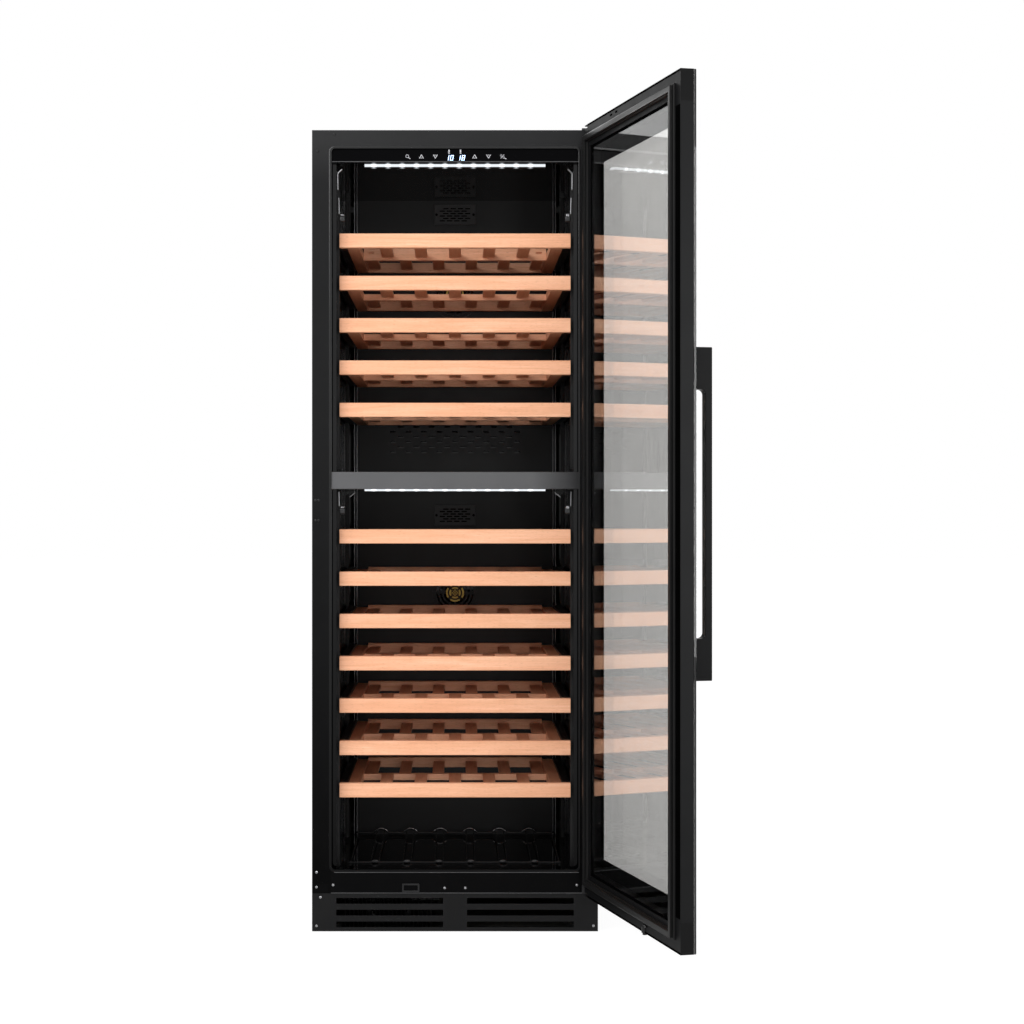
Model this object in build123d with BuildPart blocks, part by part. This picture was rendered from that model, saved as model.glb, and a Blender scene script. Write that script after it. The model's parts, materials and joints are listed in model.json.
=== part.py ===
from build123d import *
from math import cos, radians, sin
import os

os.makedirs("parts", exist_ok=True)

# Two-zone built-in wine cooler. Millimetres, +X right, +Y to the back, +Z up.
# The origin is the centre of the cabinet's footprint, on the floor. The door stands open.

# ---- sheet, clearances and small common sizes ----
sheet = 1.5  # outer steel casing
liner = 2.0  # moulded zone tubs
seam = 0.1  # joint line between neighbouring pieces of one part
running_gap = 0.3  # between parts that move past each other
pin_clearance = 0.05  # radial, pins and shafts in their bores

# ---- widths ----
shelf_width = 486.0
shelf_side_gap = 5.0
side_foam = 46.0
stile_width = 38.5

# ---- depths ----
front_return = 12.0
lip_depth = 23.0
shelf_setback = 45.0
shelf_depth = 515.0
shelf_rear_gap = 5.0
duct_wall = 2.0
duct_depth = 28.0
rear_foam = 31.5

# ---- heights, from the floor up ----
plinth_height = 80.0
sill_height = 46.0
sill_drop = 11.0
rack_bay = 188.0
shelf_pitch = 89.0
lower_shelves = 7
lower_headroom = 84.0
divider_height = 36.0
upper_floor_room = 146.0
upper_shelves = 5
upper_headroom = 143.0
control_height = 31.0
top_rail = 35.0
floor_foam = 15.0

# ---- front frame ----
opening_radius = 10.0
lip_wall = 2.0

# ---- shelf ----
board_thickness = 20.0
board_height = 30.0
rail_inset = 15.0
rail_width = 25.0
rail_top = 10.0
rail_height = 18.0
cross_rail_thickness = 18.0
mid_rail_height = 14.0
rear_rail_top = 5.0
slat_width = 26.0
slat_thickness = 8.0
slat_pitch = 74.5
slat_top = 13.0
edge_round = 2.0
notch_inset = 10.0
notch_width = 12.0
notch_height = 4.0
notch_depth_y = 6.0
closed_rail_top = 1.0

# ---- telescopic slides ----
slide_length = 450.0
slide_wall = 1.2
slide_height = 25.0
slide_depth = 8.0
slide_drop = 3.0
pilaster_width = 20.0
pilaster_depth = 4.0
pilaster_margin = 8.0

# ---- door ----
door_angle = 103.3
door_side_gap = 0.5
door_overhang = 6.0
door_floor_gap = 78.0
door_thickness = 30.0
door_gap = 10.0
pivot_inset = 11.0
glass = 4.0
frame_lip = 2.0
stile_border = 38.0
rail_border = 48.0
glass_bite = 8.0
glass_corner = 1.5
pane_clearance = 0.5
spacer_width = 12.0
gasket_inset = 22.0
gasket_hinge_inset = 9.0
gasket_free_inset = 29.0
gasket_width = 16.0
gasket_base = 4.0
gasket_crown = 12.0

# ---- hinge ----
pin_radius = 4.0
pin_length = 16.0
bush_wall = 3.0
tongue_half = 6.0
tongue_thickness = 4.0
notch_depth = 7.0
notch_reach = 8.0
bracket_length = 50.0
bracket_width = 28.0
bracket_screw = 3.0
bracket_plate = 3.0
bracket_height = 17.0
tongue_drop = 1.0

# ---- handle ----
handle_length = 604.0
handle_drop = 4.3
handle_block = 76.5
handle_projection = 34.3
handle_bar = 12.6
handle_width = 20.0
handle_inset = 20.0
handle_corner = 10.0
handle_edge = 1.5

# ---- lock ----
lock_reach = 375.0
lock_radius = 4.5
lock_wall = 2.0
lock_set_in = 2.0
lock_height = 12.0
lock_below = 4.0
tongue_length = 18.0
tongue_width = 8.0
tongue_gap = 1.0
tongue_plate = 3.0
keeper_width = 36.0
keeper_height = 18.0
keeper_pocket = 11.0
keeper_plate = 2.0
keeper_rim = 4.0
keeper_shift = 3.0
slot_width = 1.2

# ---- air ducts ----
vent_width = 98.0
vent_height = 48.0
vent_plate = 3.0
vent_slot = 12.0
vent_slot_height = 3.2
vent_pitch_x = 17.0
vent_pitch_z = 7.4
vent_rows = 5
vent_columns = 4
vent_screw_inset = 6.0
vent_screw_hole = 1.6
upper_vent_drop = 32.5
lower_vent_drop = 57.0
upper_fan_drop = 221.0
lower_fan_drop = 239.0
intake_rows = 6
intake_columns = 9
intake_pitch_x = 36.5
intake_pitch_z = 11.8
intake_slot = 14.0
intake_slot_height = 4.0
intake_rise = 79.0
grille_radius = 57.0
grille_plate = 2.0
grille_ring = 4.0
grille_rings = 4
filter_radius = 21.5
filter_thickness = 3.5
filter_holes = 8
filter_hole = 2.8
filter_hole_ring = 13.0
filter_hole_depth = 1.0

# ---- fans ----
fan_size = 92.0
fan_depth = 25.0
fan_bore = 44.0
fan_tip_gap = 1.0
fan_hub = 18.0
fan_blades = 7
blade_thickness = 2.0
blade_chord = 18.0
blade_pitch = 38.0
blade_root = 1.0
strut = 3.0
strut_width = 6.0
fan_shaft = 1.5
fan_shaft_length = 16.0

# ---- evaporators and condenser ----
coil_width = 360.0
coil_height = 90.0
coil_depth = 24.0
coil_fins = 19
fin_thickness = 0.8
tube_radius = 4.0
tube_rows = 3
condenser_width = 180.0
condenser_depth = 44.0
condenser_height = 90.0
condenser_fins = 21
condenser_side_gap = 66.0
condenser_front_gap = 24.0

# ---- base bay ----
compressor_radius = 40.0
compressor_length = 200.0
compressor_round = 22.0
compressor_side_gap = 70.0
compressor_back_gap = 60.0
grommet_height = 6.0
grommet_radius = 9.0
cradle_plate = 6.0
cradle_length = 120.0
cradle_width = 24.0
tray_width = 220.0
tray_length = 140.0
tray_height = 28.0
tray_wall = 2.0
tray_side_gap = 40.0
tray_back_gap = 140.0
foot_inset_x = 42.5
foot_inset_y = 45.0
foot_radius = 15.0
foot_pad = 6.0
foot_edge = 1.0
foot_stud = 4.0
foot_stud_length = 30.0
cup_height = 9.5
cup_clearance = 2.0
boss_height = 10.0
boss_wall = 5.0
back_slot_length = 200.0
back_slot_height = 8.0
back_slot_pitch = 18.0
back_slot_rows = 4

# ---- plinth grille ----
grille_slot = 222.0
grille_slot_height = 12.0
grille_slot_pitch = 24.5
grille_slot_rows = 3
grille_slot_gap = 50.0
grille_slot_lift = 15.3
grille_lift = 1.0

# ---- control strip, lamps, inlet ----
strip_setback = 6.0
strip_plate = 4.0
board_plate = 1.6
board_width = 240.0
led_length = 377.0
led_height = 11.0
led_depth = 14.0
lower_led_height = 4.0
led_edge = 1.0
chip_height = 2.0
chip_count = 5
divider_setback = 3.0
inlet_width = 48.0
inlet_height = 28.0
inlet_flange = 2.0
inlet_depth = 20.0
inlet_wall = 3.0
inlet_pin = 4.0
inlet_pin_pitch = 8.0
inlet_side_gap = 124.0
inlet_z = 42.0
screw_radius = 3.0
screw_head = 2.0
screw_round = 1.4
grille_screw_inset = 9.5
grille_screw_rise = 12.6
corner_screw_inset = 44.0
corner_screw_rise = 17.5
sill_screw_spacing = 43.0
sill_screw_rise = 11.6
spare_seat_inset = 9.5
spare_seat_rise = 13.0
spare_seat_spacing = 31.0
rivet_inset = 17.5
rivet_drop = 8.0
plug_inset = 7.2
plug_spacing = 6.4
plug_drop = 59.0
plug_row_spacing = 42.0
top_screw_inset = 46.7
top_screw_drop = 8.0
stile_screw_inset = 11.5
stile_screw_drop = 43.0

# ---- wire rack ----
wire_radius = 2.5
rack_rods = 6
rack_pitch = 69.0
rack_side_gap = 13.0
rack_front_setback = 165.0
rack_wave = 9.0
rack_wave_width = 34.0
rack_rear_gap = 20.0
rack_overhang = 6.0
weld_offset = 1.2

# ---- derived planes and levels ----
zone_width = shelf_width + 2 * shelf_side_gap
tub_width = zone_width + 2 * liner
casing_width = tub_width + 2 * side_foam
cabinet_width = casing_width + 2 * sheet
opening_width = cabinet_width - 2 * stile_width

zone_depth = shelf_setback + shelf_depth + shelf_rear_gap
cabinet_depth = zone_depth + duct_wall + duct_depth + liner + rear_foam + sheet
front = -cabinet_depth / 2
back = cabinet_depth / 2
lip_back = front + lip_depth
tub_front = lip_back + liner
duct_front = front + zone_depth
duct_back = duct_front + duct_wall
tub_inner_back = duct_back + duct_depth
tub_back = tub_inner_back + liner
casing_back = back - sheet

sill_top = plinth_height + sill_height
lower_floor = sill_top - sill_drop
bay_top = lower_floor - liner - floor_foam
lower_tops = [lower_floor + rack_bay + i * shelf_pitch for i in range(lower_shelves)]
lower_ceiling = lower_tops[-1] + lower_headroom
upper_floor = lower_ceiling + divider_height
upper_tops = [upper_floor + upper_floor_room + i * shelf_pitch for i in range(upper_shelves)]
upper_ceiling = upper_tops[-1] + upper_headroom
opening_top = upper_ceiling + control_height
cabinet_height = opening_top + top_rail
casing_top = cabinet_height - sheet

door_width = cabinet_width - 2 * door_side_gap
door_height = cabinet_height + door_overhang - door_floor_gap
door_top = cabinet_height + door_overhang
pivot_x = cabinet_width / 2 - door_side_gap - pivot_inset
pivot_y = front - door_gap - door_thickness / 2

shelf_front = front + shelf_setback
board_back = shelf_front + board_thickness
frame_half = shelf_width / 2 - rail_inset
pilaster_face = zone_width / 2 - pilaster_depth
duct_width = 2 * frame_half


def span(x0, x1, y0, y1, z0, z1, mode=Mode.ADD):
    """Add or cut a block between two corners, in the active part."""
    with Locations(((x0 + x1) / 2, (y0 + y1) / 2, (z0 + z1) / 2)):
        Box(x1 - x0, y1 - y0, z1 - z0, mode=mode)


def save(name, part):
    """Label one finished part and write its file."""
    part.label = name
    export_step(part, f"parts/{name}.step")


# ======== casing ========
for side, name in ((-1, "side_panel_left"), (1, "side_panel_right")):
    with BuildPart() as side_panel:
        inner = side * casing_width / 2
        outer = side * cabinet_width / 2
        span(min(inner, outer), max(inner, outer), front + front_return, back, 0, cabinet_height)
    save(name, side_panel.part)

with BuildPart() as top_panel:
    span(
        -casing_width / 2,
        casing_width / 2,
        front + front_return,
        back,
        casing_top,
        cabinet_height,
    )
save("top_panel", top_panel.part)

inlet_x = -casing_width / 2 + inlet_side_gap + inlet_width / 2
compressor_x = casing_width / 2 - compressor_side_gap - compressor_length / 2
with BuildPart() as back_panel:
    span(-casing_width / 2, casing_width / 2, casing_back, back, sheet, casing_top)
    with BuildSketch(Plane.XZ.offset(-back)):
        with Locations((compressor_x, bay_top / 2)):
            with GridLocations(1, back_slot_pitch, 1, back_slot_rows):
                SlotOverall(back_slot_length, back_slot_height)
        with Locations((inlet_x, inlet_z)):
            Rectangle(inlet_width - 2 * inlet_wall, inlet_height - 2 * inlet_wall)
    extrude(amount=sheet, mode=Mode.SUBTRACT)
save("back_panel", back_panel.part)

foot_places = [
    (sx * (cabinet_width / 2 - foot_inset_x), sy * (cabinet_depth / 2 - foot_inset_y))
    for sx, sy in ((-1, -1), (1, -1), (-1, 1), (1, 1))
]
cup_radius = foot_radius + cup_clearance
with BuildPart() as base_pan:
    span(-casing_width / 2, casing_width / 2, front + front_return, casing_back, 0, sheet)
    with BuildSketch():
        with Locations(*foot_places):
            Circle(cup_radius + sheet)
    extrude(amount=cup_height)
    with BuildSketch(Plane.XY.offset(cup_height)):
        with Locations(*foot_places):
            Circle(foot_stud + boss_wall)
    extrude(amount=boss_height)
    with BuildSketch():
        with Locations(*foot_places):
            Circle(cup_radius)
    extrude(amount=cup_height - sheet, mode=Mode.SUBTRACT)
    with BuildSketch():
        with Locations(*foot_places):
            Circle(foot_stud + pin_clearance)
    extrude(amount=cup_height + boss_height, mode=Mode.SUBTRACT)
save("base_pan", base_pan.part)

foot_names = ["foot_front_left", "foot_front_right", "foot_rear_left", "foot_rear_right"]
for name, place in zip(foot_names, foot_places):
    with BuildPart() as foot:
        with BuildSketch():
            with Locations(place):
                Circle(foot_radius)
        extrude(amount=foot_pad)
        chamfer(foot.edges().group_by(Axis.Z)[0], foot_edge)
        with BuildSketch(Plane.XY.offset(foot_pad)):
            with Locations(place):
                Circle(foot_stud)
        extrude(amount=foot_stud_length - foot_pad)
    save(name, foot.part)

# ======== front frame ========
opening_height = opening_top - sill_top
opening_mid = (opening_top + sill_top) / 2
frame_height = cabinet_height - plinth_height
frame_mid = (cabinet_height + plinth_height) / 2
front_face = Plane(origin=(0, front, 0), x_dir=(1, 0, 0), z_dir=(0, -1, 0))
keeper_x = pivot_x - lock_reach - keeper_shift
tongue_z = door_floor_gap + lock_height + seam
keeper_z = tongue_z + tongue_plate / 2

with BuildPart() as front_frame:
    with BuildSketch(front_face.offset(-front_return)):
        with Locations((0, frame_mid)):
            Rectangle(cabinet_width, frame_height)
            Rectangle(casing_width, frame_height - 2 * sheet, mode=Mode.SUBTRACT)
    extrude(amount=front_return)
    with BuildSketch(front_face.offset(-sheet)):
        with Locations((0, frame_mid)):
            Rectangle(casing_width, frame_height - 2 * sheet)
    extrude(amount=sheet)
    with BuildSketch(front_face.offset(-lip_depth)):
        with Locations((0, opening_mid)):
            RectangleRounded(
                opening_width + 2 * lip_wall, opening_height + 2 * lip_wall, opening_radius + lip_wall
            )
    extrude(amount=lip_depth)
    with BuildSketch(front_face.offset(-lip_depth)):
        with Locations((0, opening_mid)):
            RectangleRounded(opening_width, opening_height, opening_radius)
    extrude(amount=lip_depth, mode=Mode.SUBTRACT)
    with BuildSketch(front_face.offset(-sheet)):
        with Locations((keeper_x, keeper_z)):
            Rectangle(keeper_width - keeper_rim, keeper_height - keeper_rim)
    extrude(amount=sheet, mode=Mode.SUBTRACT)
save("front_frame", front_frame.part)

with BuildPart() as lock_keeper:
    with BuildSketch(front_face.offset(-keeper_pocket)):
        with Locations((keeper_x, keeper_z)):
            Rectangle(keeper_width - keeper_rim - seam, keeper_height - keeper_rim - seam)
    extrude(amount=keeper_pocket)
    with BuildSketch(front_face):
        with Locations((keeper_x, keeper_z)):
            RectangleRounded(keeper_width, keeper_height, keeper_plate)
    extrude(amount=keeper_plate)
    with BuildSketch(front_face.offset(-(keeper_pocket - sheet))):
        with Locations((keeper_x, keeper_z)):
            Rectangle(keeper_width - keeper_rim - 2 * sheet, keeper_height - keeper_rim - 2 * sheet)
    extrude(amount=keeper_pocket + keeper_plate - sheet, mode=Mode.SUBTRACT)
save("lock_keeper", lock_keeper.part)

with BuildPart() as kick_grille:
    span(
        -cabinet_width / 2,
        cabinet_width / 2,
        front,
        front + front_return,
        grille_lift,
        plinth_height,
    )
    span(
        -casing_width / 2,
        casing_width / 2,
        front + sheet,
        front + front_return,
        grille_lift + sheet,
        plinth_height - sheet,
        mode=Mode.SUBTRACT,
    )
    with BuildSketch(front_face.offset(-sheet)):
        rows_mid = grille_slot_lift + grille_slot_pitch * (grille_slot_rows - 1) / 2
        with Locations((0, rows_mid)):
            with GridLocations(grille_slot + grille_slot_gap, grille_slot_pitch, 2, grille_slot_rows):
                Rectangle(grille_slot, grille_slot_height)
    extrude(amount=sheet, mode=Mode.SUBTRACT)
save("kick_grille", kick_grille.part)

# Screw heads and hole plugs on the front, as distances from the frame's own edges.
left = -cabinet_width / 2
right = cabinet_width / 2
screw_places = [
    (left + grille_screw_inset, grille_screw_rise),
    (right - grille_screw_inset, grille_screw_rise),
    (left + corner_screw_inset, plinth_height + corner_screw_rise),
    (right - corner_screw_inset, plinth_height + corner_screw_rise),
    (-sill_screw_spacing / 2, plinth_height + sill_screw_rise),
    (sill_screw_spacing / 2, plinth_height + sill_screw_rise),
    (left + spare_seat_inset, plinth_height + spare_seat_rise),
    (left + spare_seat_inset, plinth_height + spare_seat_rise + spare_seat_spacing),
    (left + rivet_inset, plinth_height - rivet_drop),
    (left + top_screw_inset, cabinet_height - top_screw_drop),
    (left + stile_screw_inset, cabinet_height - stile_screw_drop),
]
for row in range(2):
    plug_z = upper_floor - plug_drop - row * plug_row_spacing
    screw_places += [(left + plug_inset, plug_z), (left + plug_inset + plug_spacing, plug_z)]
with BuildPart() as panel_screws:
    with BuildSketch(front_face):
        with Locations(*screw_places):
            Circle(screw_radius)
    extrude(amount=screw_head)
    fillet(panel_screws.edges().group_by(Axis.Y)[0], screw_round)
save("panel_screws", panel_screws.part)

# ======== zone tubs and insulation ========
tub_half = tub_width / 2
flange_half = opening_width / 2 + lip_wall


def zone_tub(floor, ceiling, flange_floor):
    """A black tub, open at the front, with a flange that meets the front frame's lip."""
    with BuildPart() as tub:
        span(-tub_half, tub_half, tub_front, tub_back, floor - liner, ceiling + liner)
        span(-flange_half, flange_half, lip_back, tub_front, floor - liner, ceiling + liner)
        span(
            -zone_width / 2,
            zone_width / 2,
            tub_front,
            tub_inner_back,
            floor,
            ceiling,
            mode=Mode.SUBTRACT,
        )
        span(
            -zone_width / 2,
            zone_width / 2,
            lip_back,
            tub_front,
            flange_floor,
            ceiling,
            mode=Mode.SUBTRACT,
        )
    return tub.part


save("lower_liner", zone_tub(lower_floor, lower_ceiling, sill_top))
save("upper_liner", zone_tub(upper_floor, upper_ceiling, upper_floor))

casing_half = casing_width / 2
keeper_left = keeper_x - keeper_width / 2
keeper_right = keeper_x + keeper_width / 2
with BuildPart() as insulation:
    for side in (-1, 1):
        walls = sorted((side * (tub_half + seam / 2), side * casing_half))
        span(*walls, tub_front, casing_back, bay_top, casing_top)
        cheeks = sorted((side * flange_half, side * casing_half))
        span(*cheeks, front + sheet, tub_front - seam, sill_top, casing_top)
    span(-tub_half, tub_half, tub_back, casing_back, bay_top, casing_top)
    span(-tub_half, tub_half, lip_back, tub_back - seam, upper_ceiling + liner, casing_top)
    span(-tub_half, tub_half, tub_front, tub_back - seam, bay_top, lower_floor - liner)
    span(
        -tub_half,
        tub_half,
        tub_front,
        tub_back - seam,
        lower_ceiling + liner,
        upper_floor - liner,
    )
    span(
        -flange_half + seam,
        flange_half - seam,
        front + sheet,
        lip_back - seam,
        opening_top + lip_wall,
        casing_top,
    )
    for x0, x1 in ((-casing_half, keeper_left), (keeper_right, casing_half)):
        span(x0, x1, front + sheet, lip_back, plinth_height + sheet, sill_top - lip_wall)
save("insulation", insulation.part)

with BuildPart() as divider_trim:
    trim_half = opening_width / 2 - running_gap
    span(
        -trim_half,
        trim_half,
        front + divider_setback,
        lip_back,
        lower_ceiling,
        upper_floor,
    )
    fillet(divider_trim.edges().filter_by(Axis.X).group_by(Axis.Y)[0], edge_round)
save("divider_trim", divider_trim.part)

# ======== rear air ducts ========
# zone: name, floor, ceiling, vent height, fan height
zones = [
    ("upper", upper_floor, upper_ceiling, upper_ceiling - upper_vent_drop, upper_ceiling - upper_fan_drop),
    ("lower", lower_floor, lower_ceiling, lower_ceiling - lower_vent_drop, lower_ceiling - lower_fan_drop),
]
vent_field_x = vent_pitch_x * vent_columns + vent_slot
vent_field_z = vent_pitch_z * vent_rows
intake_mid = upper_floor + intake_rise


def duct_panel(floor, ceiling, vent_z, fan_z, intake):
    """A wall in front of the coil and fan, folded back to the tub along both sides."""
    with BuildPart() as panel:
        for side in (-1, 1):
            returns = sorted((side * duct_width / 2, side * (duct_width / 2 - duct_wall)))
            span(*returns, duct_front, tub_inner_back, floor, ceiling)
        span(-duct_width / 2, duct_width / 2, duct_front, duct_back, floor, ceiling)
        with BuildSketch(Plane.XZ.offset(-duct_back)):
            with Locations((0, vent_z)):
                Rectangle(vent_field_x, vent_field_z)
            with Locations((0, fan_z)):
                Circle(fan_bore)
            if intake:
                with Locations((0, intake_mid)):
                    even = intake_rows // 2
                    with GridLocations(intake_pitch_x, 2 * intake_pitch_z, intake_columns, even):
                        SlotOverall(intake_slot, intake_slot_height)
                with Locations((0, intake_mid + intake_pitch_z)):
                    with GridLocations(intake_pitch_x, 2 * intake_pitch_z, intake_columns - 1, even):
                        SlotOverall(intake_slot, intake_slot_height)
        extrude(amount=duct_wall, mode=Mode.SUBTRACT)
    return panel.part


for name, floor, ceiling, vent_z, fan_z in zones:
    save(f"{name}_duct_panel", duct_panel(floor, ceiling, vent_z, fan_z, name == "upper"))

with BuildPart() as vent_covers:
    for name, floor, ceiling, vent_z, fan_z in zones:
        with BuildSketch(Plane.XZ.offset(-duct_front)):
            with Locations((0, vent_z)):
                RectangleRounded(vent_width, vent_height, edge_round)
            for row in range(vent_rows):
                shift = vent_pitch_x / 4 * (1 if row % 2 else -1)
                lift = (row - (vent_rows - 1) / 2) * vent_pitch_z
                with Locations((shift, vent_z + lift)):
                    with GridLocations(vent_pitch_x, 1, vent_columns, 1):
                        Rectangle(vent_slot, vent_slot_height, mode=Mode.SUBTRACT)
            with Locations((0, vent_z)):
                with GridLocations(vent_width - 2 * vent_screw_inset, 1, 2, 1):
                    Circle(vent_screw_hole, mode=Mode.SUBTRACT)
        extrude(amount=vent_plate)
save("vent_covers", vent_covers.part)

with BuildPart() as fan_grilles:
    for name, floor, ceiling, vent_z, fan_z in zones:
        ring_step = (grille_radius - filter_radius) / grille_rings
        with BuildSketch(Plane.XZ.offset(-duct_front)):
            with Locations((0, fan_z)):
                for i in range(grille_rings):
                    outer = grille_radius - i * ring_step
                    Circle(outer)
                    Circle(outer - grille_ring, mode=Mode.SUBTRACT)
                Rectangle(2 * grille_radius - grille_ring, grille_ring)
                Rectangle(grille_ring, 2 * grille_radius - grille_ring)
                Circle(filter_radius + seam, mode=Mode.SUBTRACT)
        extrude(amount=grille_plate)
save("fan_grilles", fan_grilles.part)

with BuildPart() as charcoal_filters:
    for name, floor, ceiling, vent_z, fan_z in zones:
        with BuildSketch(Plane.XZ.offset(-duct_back)):
            with Locations((0, fan_z)):
                Circle(filter_radius)
        extrude(amount=duct_wall + filter_thickness)
        with BuildSketch(Plane.XZ.offset(-duct_front + filter_thickness - filter_hole_depth)):
            with Locations((0, fan_z)):
                with PolarLocations(filter_hole_ring, filter_holes):
                    Circle(filter_hole)
        extrude(amount=filter_hole_depth, mode=Mode.SUBTRACT)
save("charcoal_filters", charcoal_filters.part)

condenser_x = -casing_width / 2 + condenser_side_gap + condenser_width / 2
condenser_back = front + front_return + condenser_front_gap + condenser_depth
fan_places = {
    "condenser": Plane(
        origin=(condenser_x, condenser_back, sheet + fan_size / 2),
        x_dir=(1, 0, 0),
        z_dir=(0, 1, 0),
    )
}
for name, floor, ceiling, vent_z, fan_z in zones:
    fan_places[name] = Plane(origin=(0, duct_back, fan_z), x_dir=(1, 0, 0), z_dir=(0, 1, 0))

with BuildPart() as fan_housings:
    for place in fan_places.values():
        with BuildSketch(place):
            RectangleRounded(fan_size, fan_size, edge_round * 2)
            Circle(fan_bore, mode=Mode.SUBTRACT)
        extrude(amount=fan_depth)
        with BuildSketch(place.offset(fan_depth - strut)):
            Rectangle(fan_size - strut, strut_width)
            Rectangle(strut_width, fan_size - strut)
            Circle(fan_hub)
        extrude(amount=strut)
        with BuildSketch(place.offset(fan_depth - strut - fan_shaft_length)):
            Circle(fan_shaft)
        extrude(amount=fan_shaft_length)
save("fan_housings", fan_housings.part)

blade_reach = fan_bore - fan_tip_gap - fan_hub
for name, place in fan_places.items():
    with BuildPart(place) as rotor:
        hub_length = fan_depth - strut - running_gap - fan_tip_gap
        with Locations((0, 0, fan_tip_gap + hub_length / 2)):
            Cylinder(fan_hub, hub_length)
            with PolarLocations(fan_hub + blade_reach / 2 - blade_root / 2, fan_blades):
                Box(blade_reach + blade_root, blade_thickness, blade_chord, rotation=(blade_pitch, 0, 0))
        with Locations((0, 0, fan_depth - strut - fan_shaft_length / 2)):
            Cylinder(fan_shaft + pin_clearance, fan_shaft_length + 2 * running_gap, mode=Mode.SUBTRACT)
    save(f"{name}_fan_rotor", rotor.part)


def finned_coil(x, y, z, width, depth, height, fins):
    """Level tubes through upright fins, between two end plates, in the active part."""
    for i in range(fins):
        thickness = fin_thickness * (2 if i in (0, fins - 1) else 1)
        with Locations((x - width / 2 + width * i / (fins - 1), y, z)):
            Box(thickness, depth, height)
    with Locations((x, y, z)):
        with GridLocations(1, depth / 2, 1, 2):
            for row in range(tube_rows):
                lift = (row - (tube_rows - 1) / 2) * height / tube_rows
                with Locations((0, 0, lift)):
                    Cylinder(tube_radius, width + 6 * tube_radius, rotation=(0, 90, 0))


with BuildPart() as evaporators:
    for name, floor, ceiling, vent_z, fan_z in zones:
        coil_z = (vent_z + fan_z) / 2 + (fan_size - vent_height) / 4
        coil_y = tub_inner_back - coil_depth / 2
        finned_coil(0, coil_y, coil_z, coil_width, coil_depth, coil_height, coil_fins)
save("evaporators", evaporators.part)

# ======== base bay ========
with BuildPart() as condenser:
    finned_coil(
        condenser_x,
        condenser_back - condenser_depth / 2,
        sheet + condenser_height / 2,
        condenser_width,
        condenser_depth,
        condenser_height,
        condenser_fins,
    )
save("condenser", condenser.part)

compressor_y = casing_back - compressor_back_gap - cradle_length / 2
cradle_z = sheet + grommet_height + cradle_plate / 2
compressor_z = sheet + grommet_height + compressor_radius
with BuildPart() as compressor:
    with Locations((compressor_x, compressor_y, compressor_z)):
        Cylinder(compressor_radius, compressor_length, rotation=(0, 90, 0))
    fillet(compressor.edges().filter_by(GeomType.CIRCLE), compressor_round)
    with Locations((compressor_x, compressor_y, cradle_z)):
        with GridLocations(compressor_length / 2, 1, 2, 1):
            Box(cradle_width, cradle_length, cradle_plate)
    with Locations((compressor_x, compressor_y, sheet + grommet_height / 2)):
        with GridLocations(compressor_length / 2, cradle_length - 2 * grommet_radius, 2, 2):
            Cylinder(grommet_radius, grommet_height)
save("compressor", compressor.part)

tray_x = -casing_width / 2 + tray_side_gap + tray_width / 2
tray_y = casing_back - tray_back_gap - tray_length / 2
with BuildPart() as condensate_tray:
    with Locations((tray_x, tray_y, sheet + tray_height / 2)):
        Box(tray_width, tray_length, tray_height)
    top = condensate_tray.faces().sort_by(Axis.Z)[-1]
    offset(amount=-tray_wall, openings=top)
save("condensate_tray", condensate_tray.part)

with BuildPart() as power_inlet:
    with BuildSketch(Plane.XZ.offset(-back)):
        with Locations((inlet_x, inlet_z)):
            RectangleRounded(inlet_width, inlet_height, inlet_wall)
    extrude(amount=-inlet_flange)
    with BuildSketch(Plane.XZ.offset(-back)):
        with Locations((inlet_x, inlet_z)):
            Rectangle(inlet_width - 2 * inlet_wall - seam, inlet_height - 2 * inlet_wall - seam)
    extrude(amount=inlet_depth)
    with BuildSketch(Plane.XZ.offset(-back - inlet_flange)):
        with Locations((inlet_x, inlet_z)):
            Rectangle(inlet_width - 4 * inlet_wall, inlet_height - 4 * inlet_wall)
    extrude(amount=inlet_depth - inlet_wall, mode=Mode.SUBTRACT)
    with BuildSketch(Plane.XZ.offset(-back)):
        with Locations((inlet_x, inlet_z)):
            with GridLocations(inlet_pin_pitch, 1, 3, 1):
                Rectangle(inlet_pin / 2, inlet_pin)
    extrude(amount=inlet_depth - inlet_wall)
save("power_inlet", power_inlet.part)

# ======== control strip and lamps ========
strip_half = opening_width / 2 - running_gap
strip_front = front + strip_setback
strip_mid = (upper_ceiling + opening_top) / 2
strip_height = control_height - 2 * running_gap
with BuildPart() as control_panel:
    with BuildSketch(front_face.offset(-strip_setback)):
        with Locations((0, strip_mid)):
            Rectangle(2 * strip_half, strip_height)
    extrude(amount=-(lip_back - strip_front - seam))
    fillet(control_panel.edges().filter_by(Axis.Y).group_by(Axis.Z)[-1], opening_radius)
    span(
        -strip_half + sheet + opening_radius,
        strip_half - sheet - opening_radius,
        strip_front + strip_plate,
        lip_back,
        upper_ceiling + running_gap + sheet,
        opening_top - running_gap - sheet,
        mode=Mode.SUBTRACT,
    )
save("control_panel", control_panel.part)

with BuildPart() as control_board:
    board_half = strip_height / 2 - 2 * sheet
    span(
        -board_width / 2,
        board_width / 2,
        strip_front + strip_plate,
        strip_front + strip_plate + board_plate,
        strip_mid - board_half,
        strip_mid + board_half,
    )
    chip_pitch = board_width / chip_count
    with Locations((0, strip_front + strip_plate + board_plate + chip_height / 2, strip_mid)):
        with GridLocations(chip_pitch, 1, chip_count, 1):
            Box(chip_pitch / 2, chip_height, board_half)
save("control_board", control_board.part)

with BuildPart() as led_bars:
    led_y = lip_back - led_depth / 2
    with Locations((0, led_y, upper_ceiling + running_gap - led_height / 2)):
        Box(led_length, led_depth, led_height)
    with Locations((0, led_y, lower_ceiling - lower_led_height / 2)):
        Box(led_length, led_depth, lower_led_height)
    fillet(led_bars.edges().filter_by(Axis.X).group_by(Axis.Z)[0], led_edge)
save("led_bars", led_bars.part)

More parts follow.
